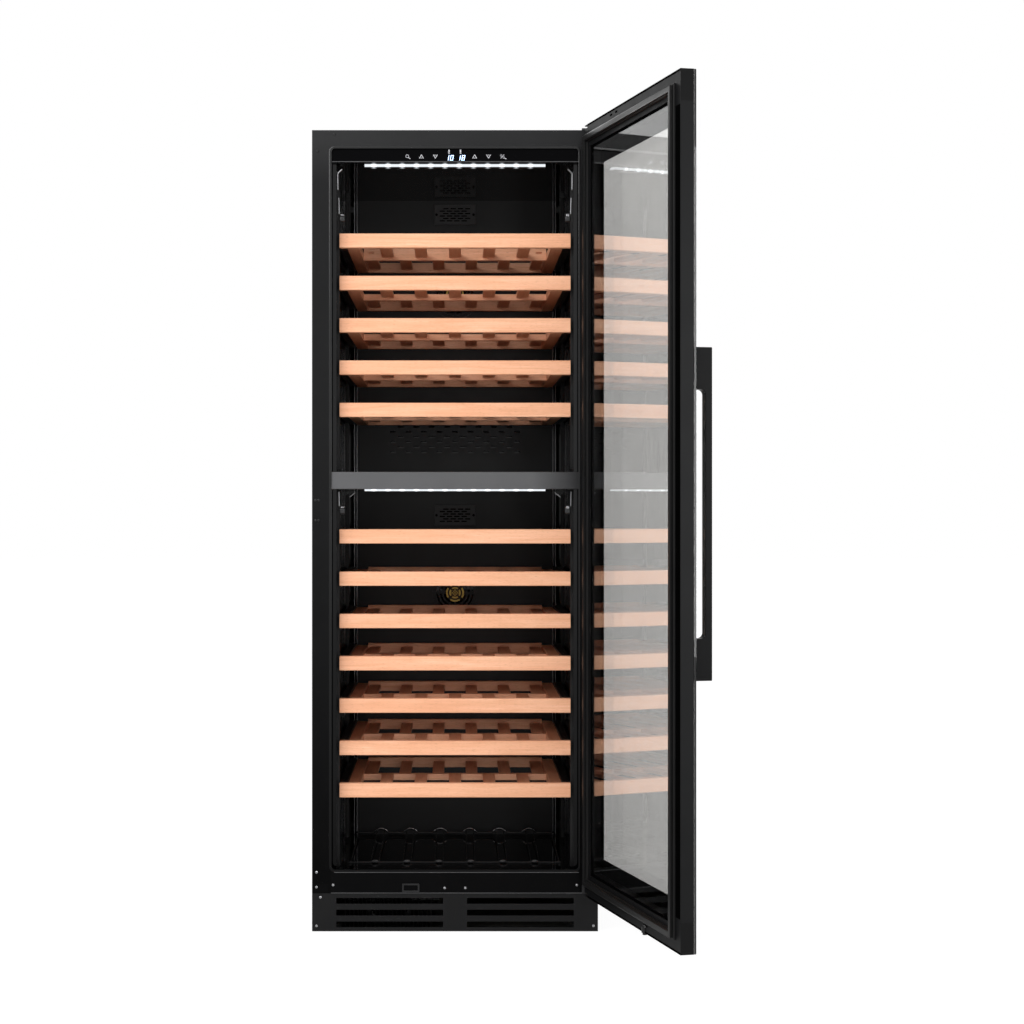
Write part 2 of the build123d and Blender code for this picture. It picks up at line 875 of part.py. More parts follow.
# ======== shelves and their slides ========
pilaster_lines = (
    board_back + seam + pilaster_width,
    board_back + slide_length - 2 * pilaster_width,
)
with BuildPart() as slide_pilasters:
    for name, floor, ceiling, vent_z, fan_z in zones:
        for side in (-1, 1):
            sides = sorted((side * pilaster_face, side * zone_width / 2))
            for line in pilaster_lines:
                span(
                    *sides,
                    line - pilaster_width / 2,
                    line + pilaster_width / 2,
                    floor + pilaster_margin,
                    ceiling - pilaster_margin,
                )
save("slide_pilasters", slide_pilasters.part)

shelf_tops = sorted(lower_tops + upper_tops, reverse=True)
slide_back = board_back + slide_length
moving_reach = pilaster_face - slide_wall - running_gap
moving_half = slide_height / 2 - slide_wall - running_gap
with BuildPart() as shelf_slides:
    for top in shelf_tops:
        slide_z = top - slide_drop - slide_height / 2
        for side in (-1, 1):
            channel = sorted((side * (pilaster_face - slide_depth), side * pilaster_face))
            span(
                *channel,
                board_back + running_gap,
                slide_back,
                slide_z - slide_height / 2,
                slide_z + slide_height / 2,
            )
            hollow = sorted((side * (pilaster_face - slide_depth), side * (pilaster_face - slide_wall)))
            span(
                *hollow,
                board_back + running_gap,
                slide_back,
                slide_z - slide_height / 2 + slide_wall,
                slide_z + slide_height / 2 - slide_wall,
                mode=Mode.SUBTRACT,
            )
save("shelf_slides", shelf_slides.part)

mid_rail_y = shelf_front + shelf_depth / 2
shelf_back = shelf_front + shelf_depth
rear_rail_front = shelf_back - cross_rail_thickness
front_slats = [i * slat_pitch for i in range(-2, 3)]
rear_slats = [(i + 0.5) * slat_pitch for i in range(-3, 3)]


def shelf(top, mid_rail_top):
    """A sliding shelf: front board, side and cross rails, slats and two slide members."""
    rail_bottom = top - rail_top - rail_height
    inner_half = frame_half - rail_width - seam
    with BuildPart() as wood:
        span(-shelf_width / 2, shelf_width / 2, shelf_front, board_back, top - board_height, top)
        fillet(wood.edges().filter_by(Axis.X), edge_round)
        for side in (-1, 1):
            rail = sorted((side * frame_half, side * (frame_half - rail_width)))
            span(*rail, board_back + seam, shelf_back, rail_bottom, top - rail_top)
            web = sorted((side * (frame_half + seam), side * (frame_half + seam + slide_wall)))
            slide_z = top - slide_drop - slide_height / 2
            low = slide_z - moving_half
            high = slide_z + moving_half
            span(*web, board_back + seam, slide_back, low, high)
            flange = sorted((side * (frame_half + seam), side * moving_reach))
            span(*flange, board_back + seam, slide_back, high - slide_wall, high)
            span(*flange, board_back + seam, slide_back, low, low + slide_wall)
        span(
            -inner_half,
            inner_half,
            mid_rail_y,
            mid_rail_y + cross_rail_thickness,
            top - slat_top - mid_rail_height,
            top - mid_rail_top,
        )
        span(
            -inner_half,
            inner_half,
            rear_rail_front,
            shelf_back,
            rail_bottom,
            top - rear_rail_top,
        )
        for x in front_slats:
            span(
                x - slat_width / 2,
                x + slat_width / 2,
                board_back + seam,
                mid_rail_y - seam,
                top - slat_top - slat_thickness,
                top - slat_top,
            )
        for x in rear_slats:
            span(
                x - slat_width / 2,
                x + slat_width / 2,
                mid_rail_y + cross_rail_thickness + seam,
                rear_rail_front - seam,
                top - slat_top - slat_thickness,
                top - slat_top,
            )
        if mid_rail_top < slat_top:
            notch_outer = inner_half - notch_inset
            for side in (-1, 1):
                notch = sorted((side * notch_outer, side * (notch_outer - notch_width)))
                span(
                    *notch,
                    mid_rail_y,
                    mid_rail_y + notch_depth_y,
                    top - slat_top,
                    top - slat_top + notch_height,
                    mode=Mode.SUBTRACT,
                )
    return wood.part


for number, top in enumerate(shelf_tops, 1):
    rail_drop = closed_rail_top if number == 1 else slat_top
    save(f"shelf_{number:02d}", shelf(top, rail_drop))

# ======== wire rack on the cabinet floor ========
# Rods slope down from the crests of a waved rear wire to the floor in front.
rack_front = front + rack_front_setback
rack_rear = duct_front - rack_rear_gap
rack_width = 2 * (pilaster_face - rack_side_gap - rack_overhang)
rack_low = lower_floor + wire_radius + seam
rack_high = lower_floor + 3 * wire_radius
rod_lines = [(i - (rack_rods - 1) / 2) * rack_pitch for i in range(rack_rods)]
wave_points = [(-rack_width / 2 - rack_overhang, 0)]
for x in rod_lines:
    wave_points += [
        (x - rack_wave_width / 2, 0),
        (x - rack_wave_width / 4, rack_wave),
        (x + rack_wave_width / 4, rack_wave),
        (x + rack_wave_width / 2, 0),
    ]
wave_points.append((rack_width / 2 + rack_overhang, 0))
wires = [(x, rack_high + rack_wave - weld_offset) for x in rod_lines]
wires += [(side * rack_width / 2, rack_high - weld_offset) for side in (-1, 1)]
with BuildPart() as wire_rack:
    with BuildLine(Plane.XZ.offset(-rack_rear)) as wave:
        FilletPolyline(*[(x, rack_high + z) for x, z in wave_points], radius=rack_wave / 2)
    with BuildSketch(Plane.YZ.offset(-rack_width / 2 - rack_overhang)):
        with Locations((rack_rear, rack_high)):
            Circle(wire_radius)
    sweep(path=wave.line)
    with Locations((0, rack_front, rack_low + weld_offset)):
        Cylinder(wire_radius, rack_width + 2 * rack_overhang, rotation=(0, 90, 0))
    for x, rear_z in wires:
        with BuildLine() as rod:
            Line((x, rack_front - rack_overhang, rack_low), (x, rack_rear + rack_overhang, rear_z))
        with BuildSketch(Plane(origin=rod.line @ 0, z_dir=rod.line % 0)):
            Circle(wire_radius)
        sweep(path=rod.line)
save("wire_rack", wire_rack.part)

# ======== hinges ========
bracket_inner = pivot_x - bracket_width + tongue_half
bracket_outer = pivot_x + tongue_half
upper_tongue = Plane.XY.offset(cabinet_height)
lower_tongue_z = door_floor_gap + notch_depth - tongue_drop - tongue_thickness
with BuildPart() as upper_hinge_bracket:
    with BuildSketch(upper_tongue):
        with Locations((pivot_x, pivot_y)):
            Circle(tongue_half)
        with Locations((pivot_x, (pivot_y + front) / 2)):
            Rectangle(2 * tongue_half, front - pivot_y)
        with Locations(((bracket_inner + bracket_outer) / 2, front + bracket_length / 2)):
            Rectangle(bracket_width, bracket_length)
            with GridLocations(1, bracket_length / 2, 1, 2):
                Circle(bracket_screw, mode=Mode.SUBTRACT)
    extrude(amount=tongue_thickness)
    with BuildSketch(upper_tongue.offset(tongue_thickness / 2)):
        with Locations((pivot_x, pivot_y)):
            Circle(pin_radius)
    extrude(amount=-(pin_length + tongue_thickness / 2))
save("upper_hinge_bracket", upper_hinge_bracket.part)

with BuildPart() as lower_hinge_bracket:
    with BuildSketch(Plane.XY.offset(lower_tongue_z)):
        with Locations((pivot_x, pivot_y)):
            Circle(tongue_half)
        with Locations((pivot_x, (pivot_y + front) / 2)):
            Rectangle(2 * tongue_half, front - pivot_y)
    extrude(amount=tongue_thickness)
    span(
        bracket_inner,
        bracket_outer,
        front - bracket_plate,
        front,
        lower_tongue_z,
        lower_tongue_z + bracket_height,
    )
    with BuildSketch(Plane.XY.offset(lower_tongue_z + tongue_thickness / 2)):
        with Locations((pivot_x, pivot_y)):
            Circle(pin_radius)
    extrude(amount=pin_length + tongue_thickness / 2)
save("lower_hinge_bracket", lower_hinge_bracket.part)

# ======== door ========
# In the door's own plane, x runs from the hinge pin to the free edge and y points outwards.
angle = radians(door_angle)
leaf = (-cos(angle), -sin(angle), 0)
outward = (sin(angle), -cos(angle), 0)
inward = (-sin(angle), cos(angle), 0)
door_plane = Plane(origin=(pivot_x, pivot_y, 0), x_dir=leaf, z_dir=(0, 0, 1))
leaf_mid = door_width / 2 - pivot_inset
door_mid = door_floor_gap + door_height / 2
inner_face = -door_thickness / 2
outer_face = door_thickness / 2
glass_back = outer_face - glass
door_back_plane = Plane(
    origin=door_plane.from_local_coords(Vector(leaf_mid, inner_face, door_mid)),
    x_dir=leaf,
    z_dir=inward,
)
pocket_width = door_width - 2 * (stile_border - glass_bite)
pocket_height = door_height - 2 * (rail_border - glass_bite)
bush_radius = pin_radius + pin_clearance + bush_wall
lock_v = inner_face + lock_set_in
lock_outer = lock_radius + lock_wall

with BuildPart(door_plane) as door_frame:
    with BuildSketch(door_back_plane):
        Rectangle(door_width, door_height)
        Rectangle(door_width - 2 * stile_border, door_height - 2 * rail_border, mode=Mode.SUBTRACT)
    extrude(amount=-frame_lip)
    with BuildSketch(door_back_plane.offset(-frame_lip)):
        Rectangle(door_width, door_height)
        Rectangle(pocket_width, pocket_height, mode=Mode.SUBTRACT)
    extrude(amount=-(door_thickness - glass - frame_lip))
    for low, high in (
        (door_floor_gap, door_floor_gap + notch_depth),
        (door_top - notch_depth, door_top),
    ):
        span(-pivot_inset, notch_reach, inner_face, glass_back, low, high, mode=Mode.SUBTRACT)
    bore_depth = notch_depth + pin_length
    for middle in (door_floor_gap + bore_depth / 2, door_top - bore_depth / 2):
        with Locations((0, 0, middle)):
            Cylinder(bush_radius, bore_depth, mode=Mode.SUBTRACT)
    with Locations((lock_reach, lock_v, door_floor_gap + lock_height / 2)):
        Cylinder(lock_outer, lock_height, mode=Mode.SUBTRACT)
    span(
        lock_reach - lock_outer,
        lock_reach + tongue_length + tongue_gap,
        inner_face,
        inner_face + lock_set_in + lock_radius + tongue_gap,
        door_floor_gap + lock_height,
        tongue_z + tongue_plate + tongue_gap,
        mode=Mode.SUBTRACT,
    )
save("door_frame", door_frame.part)

with BuildPart() as outer_glass:
    with BuildSketch(door_back_plane.offset(-(door_thickness - glass))):
        RectangleRounded(door_width, door_height, glass_corner)
    extrude(amount=-glass)
save("outer_glass", outer_glass.part)

pane_width = pocket_width - 2 * pane_clearance
pane_height = pocket_height - 2 * pane_clearance
with BuildPart() as inner_glass:
    with BuildSketch(door_back_plane.offset(-frame_lip)):
        Rectangle(pane_width, pane_height)
    extrude(amount=-glass)
save("inner_glass", inner_glass.part)

with BuildPart() as glass_spacer:
    with BuildSketch(door_back_plane.offset(-frame_lip - glass)):
        Rectangle(pane_width, pane_height)
        Rectangle(pane_width - 2 * spacer_width, pane_height - 2 * spacer_width, mode=Mode.SUBTRACT)
    extrude(amount=-(door_thickness - frame_lip - 2 * glass))
save("glass_spacer", glass_spacer.part)

gasket_back_plane = Plane(
    origin=door_plane.from_local_coords(
        Vector(leaf_mid + (gasket_hinge_inset - gasket_free_inset) / 2, inner_face, door_mid)
    ),
    x_dir=leaf,
    z_dir=inward,
)
with BuildPart() as door_gasket:
    outer_w = door_width - gasket_hinge_inset - gasket_free_inset
    outer_h = door_height - 2 * gasket_inset
    shoulder = (gasket_width - gasket_crown) / 2
    with BuildSketch(gasket_back_plane):
        RectangleRounded(outer_w, outer_h, edge_round)
        Rectangle(outer_w - 2 * gasket_width, outer_h - 2 * gasket_width, mode=Mode.SUBTRACT)
    extrude(amount=gasket_base)
    with BuildSketch(gasket_back_plane.offset(gasket_base)):
        RectangleRounded(outer_w - 2 * shoulder, outer_h - 2 * shoulder, edge_round)
        Rectangle(
            outer_w - 2 * (gasket_width - shoulder),
            outer_h - 2 * (gasket_width - shoulder),
            mode=Mode.SUBTRACT,
        )
    extrude(amount=door_gap - running_gap - gasket_base)
save("door_gasket", door_gasket.part)

with BuildPart(door_plane) as hinge_bushes:
    tongue_top = lower_tongue_z + tongue_thickness
    bush_ends = (
        (tongue_top + running_gap, tongue_top + pin_length),
        (cabinet_height - pin_length, cabinet_height - running_gap),
    )
    for low, high in bush_ends:
        with Locations((0, 0, (low + high) / 2)):
            Cylinder(bush_radius, high - low)
            Cylinder(pin_radius + pin_clearance, high - low, mode=Mode.SUBTRACT)
save("hinge_bushes", hinge_bushes.part)

handle_plane = Plane(
    origin=door_plane.from_local_coords(
        Vector(door_width - pivot_inset - handle_inset, outer_face, door_mid - handle_drop)
    ),
    x_dir=outward,
    z_dir=leaf,
)
with BuildPart() as handle:
    with BuildSketch(handle_plane):
        with Locations((handle_projection / 2, 0)):
            Rectangle(handle_projection, handle_length)
        gap = handle_projection - handle_bar
        with BuildSketch(mode=Mode.SUBTRACT) as slot:
            with Locations((gap / 2, 0)):
                Rectangle(gap, handle_length - 2 * handle_block)
            fillet(slot.vertices().group_by(Axis.X)[-1], handle_corner)
    extrude(amount=handle_width / 2, both=True)
    outer_edges = handle.faces().sort_by(Axis(handle_plane.origin, outward))[-1].edges()
    fillet(outer_edges, handle_edge)
save("handle", handle.part)

with BuildPart(door_plane) as lock_housing:
    with Locations((lock_reach, lock_v, door_floor_gap + lock_height / 2)):
        Cylinder(lock_outer, lock_height)
        Cylinder(lock_radius + pin_clearance, lock_height, mode=Mode.SUBTRACT)
save("lock_housing", lock_housing.part)

with BuildPart(door_plane) as lock_cam:
    plug_low = door_floor_gap - lock_below
    plug_high = tongue_z + tongue_plate
    with Locations((lock_reach, lock_v, (plug_low + plug_high) / 2)):
        Cylinder(lock_radius, plug_high - plug_low)
    span(
        lock_reach,
        lock_reach + tongue_length,
        lock_v - tongue_width / 2,
        lock_v + tongue_width / 2,
        tongue_z + seam,
        plug_high,
    )
    span(
        lock_reach - (lock_radius - lock_wall),
        lock_reach + (lock_radius - lock_wall),
        lock_v - slot_width / 2,
        lock_v + slot_width / 2,
        plug_low,
        plug_low + lock_below,
        mode=Mode.SUBTRACT,
    )
save("lock_cam", lock_cam.part)

print("cabinet", cabinet_width, cabinet_depth, cabinet_height)
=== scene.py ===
"""Finishes and fine pieces for a two-zone wine cooler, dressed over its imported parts."""

import json
from math import cos, pi, radians, sin

import bmesh
import bpy
from mathutils import Matrix, Vector

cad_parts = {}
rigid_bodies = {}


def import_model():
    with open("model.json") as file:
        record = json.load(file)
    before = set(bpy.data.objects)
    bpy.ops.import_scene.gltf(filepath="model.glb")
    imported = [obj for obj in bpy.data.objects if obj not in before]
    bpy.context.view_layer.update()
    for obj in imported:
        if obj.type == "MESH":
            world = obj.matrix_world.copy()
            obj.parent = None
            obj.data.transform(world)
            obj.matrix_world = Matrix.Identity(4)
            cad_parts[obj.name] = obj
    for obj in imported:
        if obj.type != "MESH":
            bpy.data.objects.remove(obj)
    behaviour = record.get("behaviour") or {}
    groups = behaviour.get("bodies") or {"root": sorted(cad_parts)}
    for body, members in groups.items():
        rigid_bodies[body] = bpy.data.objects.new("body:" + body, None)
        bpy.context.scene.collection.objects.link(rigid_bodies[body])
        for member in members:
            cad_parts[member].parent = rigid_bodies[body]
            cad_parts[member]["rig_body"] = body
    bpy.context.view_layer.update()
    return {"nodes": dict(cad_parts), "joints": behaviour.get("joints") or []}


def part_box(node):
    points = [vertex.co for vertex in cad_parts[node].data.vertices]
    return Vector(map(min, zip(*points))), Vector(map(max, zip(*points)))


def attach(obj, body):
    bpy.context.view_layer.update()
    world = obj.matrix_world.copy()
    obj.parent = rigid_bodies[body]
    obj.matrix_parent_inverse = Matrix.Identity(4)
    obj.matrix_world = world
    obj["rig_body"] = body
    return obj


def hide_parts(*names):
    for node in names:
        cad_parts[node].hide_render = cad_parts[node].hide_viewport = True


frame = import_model()
nodes = frame["nodes"]
joints = {joint["name"]: joint for joint in frame["joints"]}

# ---------------------------------------------------------------- the door's own frame
# x runs along the leaf from the hinge, y outwards from the cabinet, z up
hinge = joints["door_hinge"]
door_open = radians(-hinge["range_deg"][0])
door_place = Matrix.Translation((hinge["pos_m"][0], hinge["pos_m"][1], 0)) @ Matrix.Rotation(
    door_open + pi, 4, "Z"
)
DOOR_START = -0.011
DOOR_END = 0.583
DOOR_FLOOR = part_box("door_frame")[0].z
DOOR_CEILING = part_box("door_frame")[1].z
DOOR_INNER = -0.015
DOOR_OUTER_PANE = 0.011

# ---------------------------------------------------------------- the lamps' diodes and lines
LED_PITCH = 0.0297
FIRST_DIODE = -0.1694
DIODES = 12
UPPER_LIGHT = 1.5957
LOWER_LIGHT = 0.9190


# ---------------------------------------------------------------- shader nodes
def make_node(tree, kind, inputs=None, **settings):
    """A shader node: sockets given as inputs are linked and plain values are set."""
    node = tree.nodes.new("ShaderNode" + kind)
    for name, value in settings.items():
        setattr(node, name, value)
    for name, value in (inputs or {}).items():
        if isinstance(value, bpy.types.NodeSocket):
            tree.links.new(value, node.inputs[name])
        else:
            node.inputs[name].default_value = value
    return node


def make_group(name, inputs, outputs):
    """A node group with named sockets: inputs are {name: (kind, value)}, outputs {name: kind}."""
    tree = bpy.data.node_groups.new(name, "ShaderNodeTree")
    for label, (kind, value) in inputs.items():
        socket = tree.interface.new_socket(label, in_out="INPUT", socket_type="NodeSocket" + kind)
        if value is not None:
            socket.default_value = value
    for label, kind in outputs.items():
        tree.interface.new_socket(label, in_out="OUTPUT", socket_type="NodeSocket" + kind)
    return tree, tree.nodes.new("NodeGroupInput").outputs, tree.nodes.new("NodeGroupOutput").inputs


def use_group(tree, group, inputs):
    """A group placed in a material with its own values."""
    return make_node(tree, "Group", inputs, node_tree=group).outputs


def noise(tree, vector, scale, detail=2.0, roughness=0.5, distortion=0.0):
    inputs = {"Vector": vector, "Scale": scale, "Detail": detail, "Roughness": roughness}
    inputs["Distortion"] = distortion
    return make_node(tree, "TexNoise", inputs).outputs["Fac"]


def maths(tree, operation, first, second=0.0):
    return make_node(tree, "Math", {0: first, 1: second}, operation=operation).outputs[0]


def weighted(tree, first, share, second):
    """Two values added, the first by its share and the second by the rest."""
    rest = maths(tree, "MULTIPLY", second, 1 - share)
    return maths(tree, "ADD", maths(tree, "MULTIPLY", first, share), rest)


def scaled(tree, colour, share):
    """A colour made darker or brighter by a share."""
    inputs = {0: colour, "Scale": share}
    return make_node(tree, "VectorMath", inputs, operation="SCALE").outputs["Vector"]


def stretched(tree, vector, scale, turn=(0, 0, 0)):
    inputs = {"Vector": vector, "Scale": scale, "Rotation": turn}
    return make_node(tree, "Mapping", inputs).outputs["Vector"]


def spread(tree, value, low, high, start=0.0, end=1.0):
    inputs = {"Value": value, "From Min": start, "From Max": end, "To Min": low, "To Max": high}
    return make_node(tree, "MapRange", inputs).outputs["Result"]


def ramp(tree, value, stops):
    """Colours along a value: stops are (place, colour)."""
    node = make_node(tree, "ValToRGB", {"Fac": value})
    elements = node.color_ramp.elements
    while len(elements) < len(stops):
        elements.new(0.5)
    for element, (place, colour) in zip(elements, stops):
        element.position = place
        element.color = (*colour, 1)
    return node.outputs["Color"]


def blended(tree, factor, first, second):
    """A mix of two colours, each a socket or a plain colour."""
    first, second = (c if isinstance(c, bpy.types.NodeSocket) else (*c, 1) for c in (first, second))
    return make_node(tree, "Mix", {0: factor, 6: first, 7: second}, data_type="RGBA").outputs[2]


def link(tree, socket, shader, name):
    tree.links.new(socket, shader.inputs[name])


def bump(tree, shader, height, distance):
    inputs = {"Height": height, "Distance": distance, "Strength": 1.0}
    link(tree, make_node(tree, "Bump", inputs).outputs["Normal"], shader, "Normal")


def cleared_tree(owner):
    """The node tree of a material or a world, with nothing in it."""
    owner.use_nodes = True
    owner.node_tree.nodes.clear()
    return owner.node_tree


def put_out(tree, shader, kind="OutputMaterial"):
    """Sends a shader out of its tree as the surface."""
    tree.links.new(shader, make_node(tree, kind).inputs["Surface"])


def new_material(name, **values):
    """An empty Principled material: values are set on the shader's own sockets."""
    material = bpy.data.materials.new(name)
    tree = cleared_tree(material)
    shader = make_node(tree, "BsdfPrincipled")
    for label, value in values.items():
        shader.inputs[label.replace("_", " ")].default_value = value
    put_out(tree, shader.outputs["BSDF"])
    place = make_node(tree, "TexCoord").outputs["Object"]
    return material, tree, shader, place


# ---------------------------------------------------------------- effects that materials share
def coat_grain_group():
    """The fine peel of a sprayed or moulded surface, with slow clouding across it."""
    tree, given, put = make_group(
        "coat_grain",
        {"Vector": ("Vector", None), "Grain": ("Float", 900.0)},
        {"Tone": "Float", "Height": "Float"},
    )
    peel = noise(tree, given["Vector"], given["Grain"], 3.0, 0.6)
    cloud = noise(tree, given["Vector"], maths(tree, "MULTIPLY", given["Grain"], 0.012), 4.0, 0.55)
    both = weighted(tree, cloud, 0.7, peel)
    tree.links.new(spread(tree, both, 0.0, 1.0, 0.3, 0.7), put["Tone"])
    tree.links.new(peel, put["Height"])
    return tree


def dust_group():
    """Fine dust that lies where a surface faces up."""
    tree, given, put = make_group(
        "settled_dust",
        {"Vector": ("Vector", None), "Amount": ("Float", 0.2)},
        {"Mask": "Float"},
    )
    normal = make_node(tree, "NewGeometry").outputs["Normal"]
    up = make_node(tree, "SeparateXYZ", {"Vector": normal}).outputs["Z"]
    flat = spread(tree, up, 0.0, 1.0, 0.35, 1.0)
    patch = spread(tree, noise(tree, given["Vector"], 60.0, 5.0, 0.7), 0.2, 1.0, 0.35, 0.7)
    lying = maths(tree, "MULTIPLY", flat, patch)
    tree.links.new(maths(tree, "MULTIPLY", lying, given["Amount"]), put["Mask"])
    return tree


def brushed_group():
    """Long fine scratches along x, as rolling or brushing leaves on metal."""
    tree, given, put = make_group(
        "brushed_metal",
        {"Vector": ("Vector", None), "Grain": ("Float", 40.0)},
        {"Tone": "Float", "Height": "Float"},
    )
    along = stretched(tree, given["Vector"], (1.0, 60.0, 60.0))
    lines = noise(tree, along, given["Grain"], 4.0, 0.7)
    patch = noise(tree, given["Vector"], 14.0, 3.0)
    both = weighted(tree, lines, 0.65, patch)
    tree.links.new(spread(tree, both, 0.0, 1.0, 0.3, 0.7), put["Tone"])
    tree.links.new(lines, put["Height"])
    return tree


def wood_grain_group():
    """Beech with its grain along x: streaks, broad rings, short dark rays and pores."""
    tree, given, put = make_group(
        "beech_grain",
        {"Vector": ("Vector", None)},
        {"Colour": "Color", "Roughness": "Float", "Height": "Float"},
    )
    place = given["Vector"]
    bend = noise(tree, stretched(tree, place, (1.6, 9.0, 9.0)), 2.2, 2.0)
    ring_place = stretched(tree, place, (0.9, 26.0, 26.0))
    shift = make_node(tree, "VectorMath", {0: ring_place, 1: bend}, operation="ADD")
    rings = noise(tree, shift.outputs["Vector"], 2.6, 3.0, 0.55, 0.6)
    streaks = noise(tree, stretched(tree, place, (3.0, 150.0, 150.0)), 5.0, 4.0, 0.65)
    rays = noise(tree, stretched(tree, place, (90.0, 1500.0, 1500.0)), 1.0, 1.0)
    pores = noise(tree, stretched(tree, place, (40.0, 900.0, 900.0)), 1.7, 2.0)
    boards = noise(tree, stretched(tree, place, (1.2, 2.5, 11.0)), 3.0, 1.0)
    sapwood = ramp(
        tree,
        weighted(tree, rings, 0.55, streaks),
        [
            (0.30, (0.74, 0.335, 0.180)),
            (0.46, (0.87, 0.445, 0.262)),
            (0.58, (0.95, 0.525, 0.330)),
            (0.74, (1.0, 0.62, 0.42)),
        ],
    )
    board_mask = spread(tree, boards, 0.0, 0.55, 0.32, 0.68)
    toned = blended(tree, board_mask, sapwood, (0.83, 0.40, 0.225))
    ray_mask = spread(tree, rays, 0.0, 0.42, 0.62, 0.70)
    pore_mask = spread(tree, pores, 0.0, 0.30, 0.60, 0.72)
    rayed = blended(tree, ray_mask, toned, (0.42, 0.17, 0.085))
    tree.links.new(blended(tree, pore_mask, rayed, (0.52, 0.225, 0.12)), put["Colour"])
    tree.links.new(spread(tree, streaks, 0.38, 0.56), put["Roughness"])
    deep = maths(tree, "SUBTRACT", streaks, maths(tree, "MULTIPLY", pore_mask, 0.8))
    tree.links.new(deep, put["Height"])
    return tree


coat_grain = coat_grain_group()
settled_dust = dust_group()
brushed_metal = brushed_group()
beech_grain = wood_grain_group()


# ---------------------------------------------------------------- materials
def coat(
    name, dark, light, rough, grain=900.0, depth=0.00003, level=0.3, metal=0.0, dust=0.0, painted_shading=()
):
    """A sprayed, anodised or moulded finish with its own peel, clouding and dust.
    Each painted shading (axis, low, high, share at low, share at high) is painted shade or light
    that tones its colour and gloss along an axis."""
    material, tree, shader, place = new_material(name, Specular_IOR_Level=level, Metallic=metal)
    grained = use_group(tree, coat_grain, {"Vector": place, "Grain": grain})
    colour = ramp(tree, grained["Tone"], [(0.0, dark), (1.0, light)])
    if dust:
        mask = use_group(tree, settled_dust, {"Vector": place, "Amount": dust})["Mask"]
        colour = blended(tree, mask, colour, (0.30, 0.29, 0.27))
    # painted shade and light: colour and specular level scaled along an axis
    if painted_shading:
        axes = make_node(tree, "SeparateXYZ", {"Vector": place}).outputs
        share = 1.0
        for axis, low, high, start, end in painted_shading:
            share = maths(tree, "MULTIPLY", spread(tree, axes[axis], start, end, low, high), share)
        colour = scaled(tree, colour, share)
        link(tree, maths(tree, "MULTIPLY", share, level), shader, "Specular IOR Level")
    link(tree, colour, shader, "Base Color")
    link(tree, spread(tree, grained["Tone"], rough[0], rough[1]), shader, "Roughness")
    bump(tree, shader, grained["Height"], depth)
    return material


def bare_metal(name, dark, light, rough, grain=40.0, turn=(0, 0, 0), depth=0.00002, metal=1.0):
    """Rolled or brushed metal, its lines along x before the turn."""
    material, tree, shader, place = new_material(name, Metallic=metal)
    along = stretched(tree, place, (1, 1, 1), turn)
    lines = use_group(tree, brushed_metal, {"Vector": along, "Grain": grain})
    link(tree, ramp(tree, lines["Tone"], [(0.0, dark), (1.0, light)]), shader, "Base Color")
    link(tree, spread(tree, lines["Tone"], rough[0], rough[1]), shader, "Roughness")
    bump(tree, shader, lines["Height"], depth)
    return material


def zinc_sheet():
    """Galvanised sheet with its crystal spangle."""
    material, tree, shader, place = new_material("galvanised_sheet", Metallic=0.85)
    cells = make_node(tree, "TexVoronoi", {"Vector": place, "Scale": 90.0, "Randomness": 1.0})
    shade = make_node(tree, "SeparateColor", {"Color": cells.outputs["Color"]}).outputs["Red"]
    cloud = noise(tree, place, 9.0, 4.0)
    tone = weighted(tree, shade, 0.5, cloud)
    colour = ramp(tree, tone, [(0.15, (0.30, 0.31, 0.32)), (0.85, (0.56, 0.57, 0.58))])
    link(tree, colour, shader, "Base Color")
    link(tree, spread(tree, tone, 0.34, 0.52), shader, "Roughness")
    bump(tree, shader, shade, 0.00002)
    return material


def beech(name, turn):
    """Oiled beech, its grain along x before the turn."""
    material, tree, shader, place = new_material(name, Specular_IOR_Level=0.35)
    wood = use_group(tree, beech_grain, {"Vector": stretched(tree, place, (1, 1, 1), turn)})
    link(tree, wood["Colour"], shader, "Base Color")
    link(tree, wood["Roughness"], shader, "Roughness")
    bump(tree, shader, wood["Height"], 0.00006)
    return material


def pane_glass(name, tint, shade, foot=1.0, head=1.0):
    """Clear or tinted float glass with the faintest wiping marks, its tint scaled down towards the
    foot as painted shade and up towards the head as painted light.
    """
    material, tree, shader, place = new_material(
        name, Roughness=0.0, IOR=1.5, Transmission_Weight=1.0
    )
    wiped = noise(tree, stretched(tree, place, (3.0, 3.0, 0.8)), 3.0, 3.0)
    # foot and head scale the tint along z: painted shade low on the pane, painted light high on it
    height = make_node(tree, "SeparateXYZ", {"Vector": place}).outputs["Z"]
    lower = spread(tree, height, foot, 1.0, 0.15, 0.90)
    share = maths(tree, "MULTIPLY", spread(tree, height, 1.0, head, 1.15, 1.55), lower)
    body = ramp(tree, wiped, [(0.3, shade), (0.7, tint)])
    link(tree, scaled(tree, body, share), shader, "Base Color")
    return material


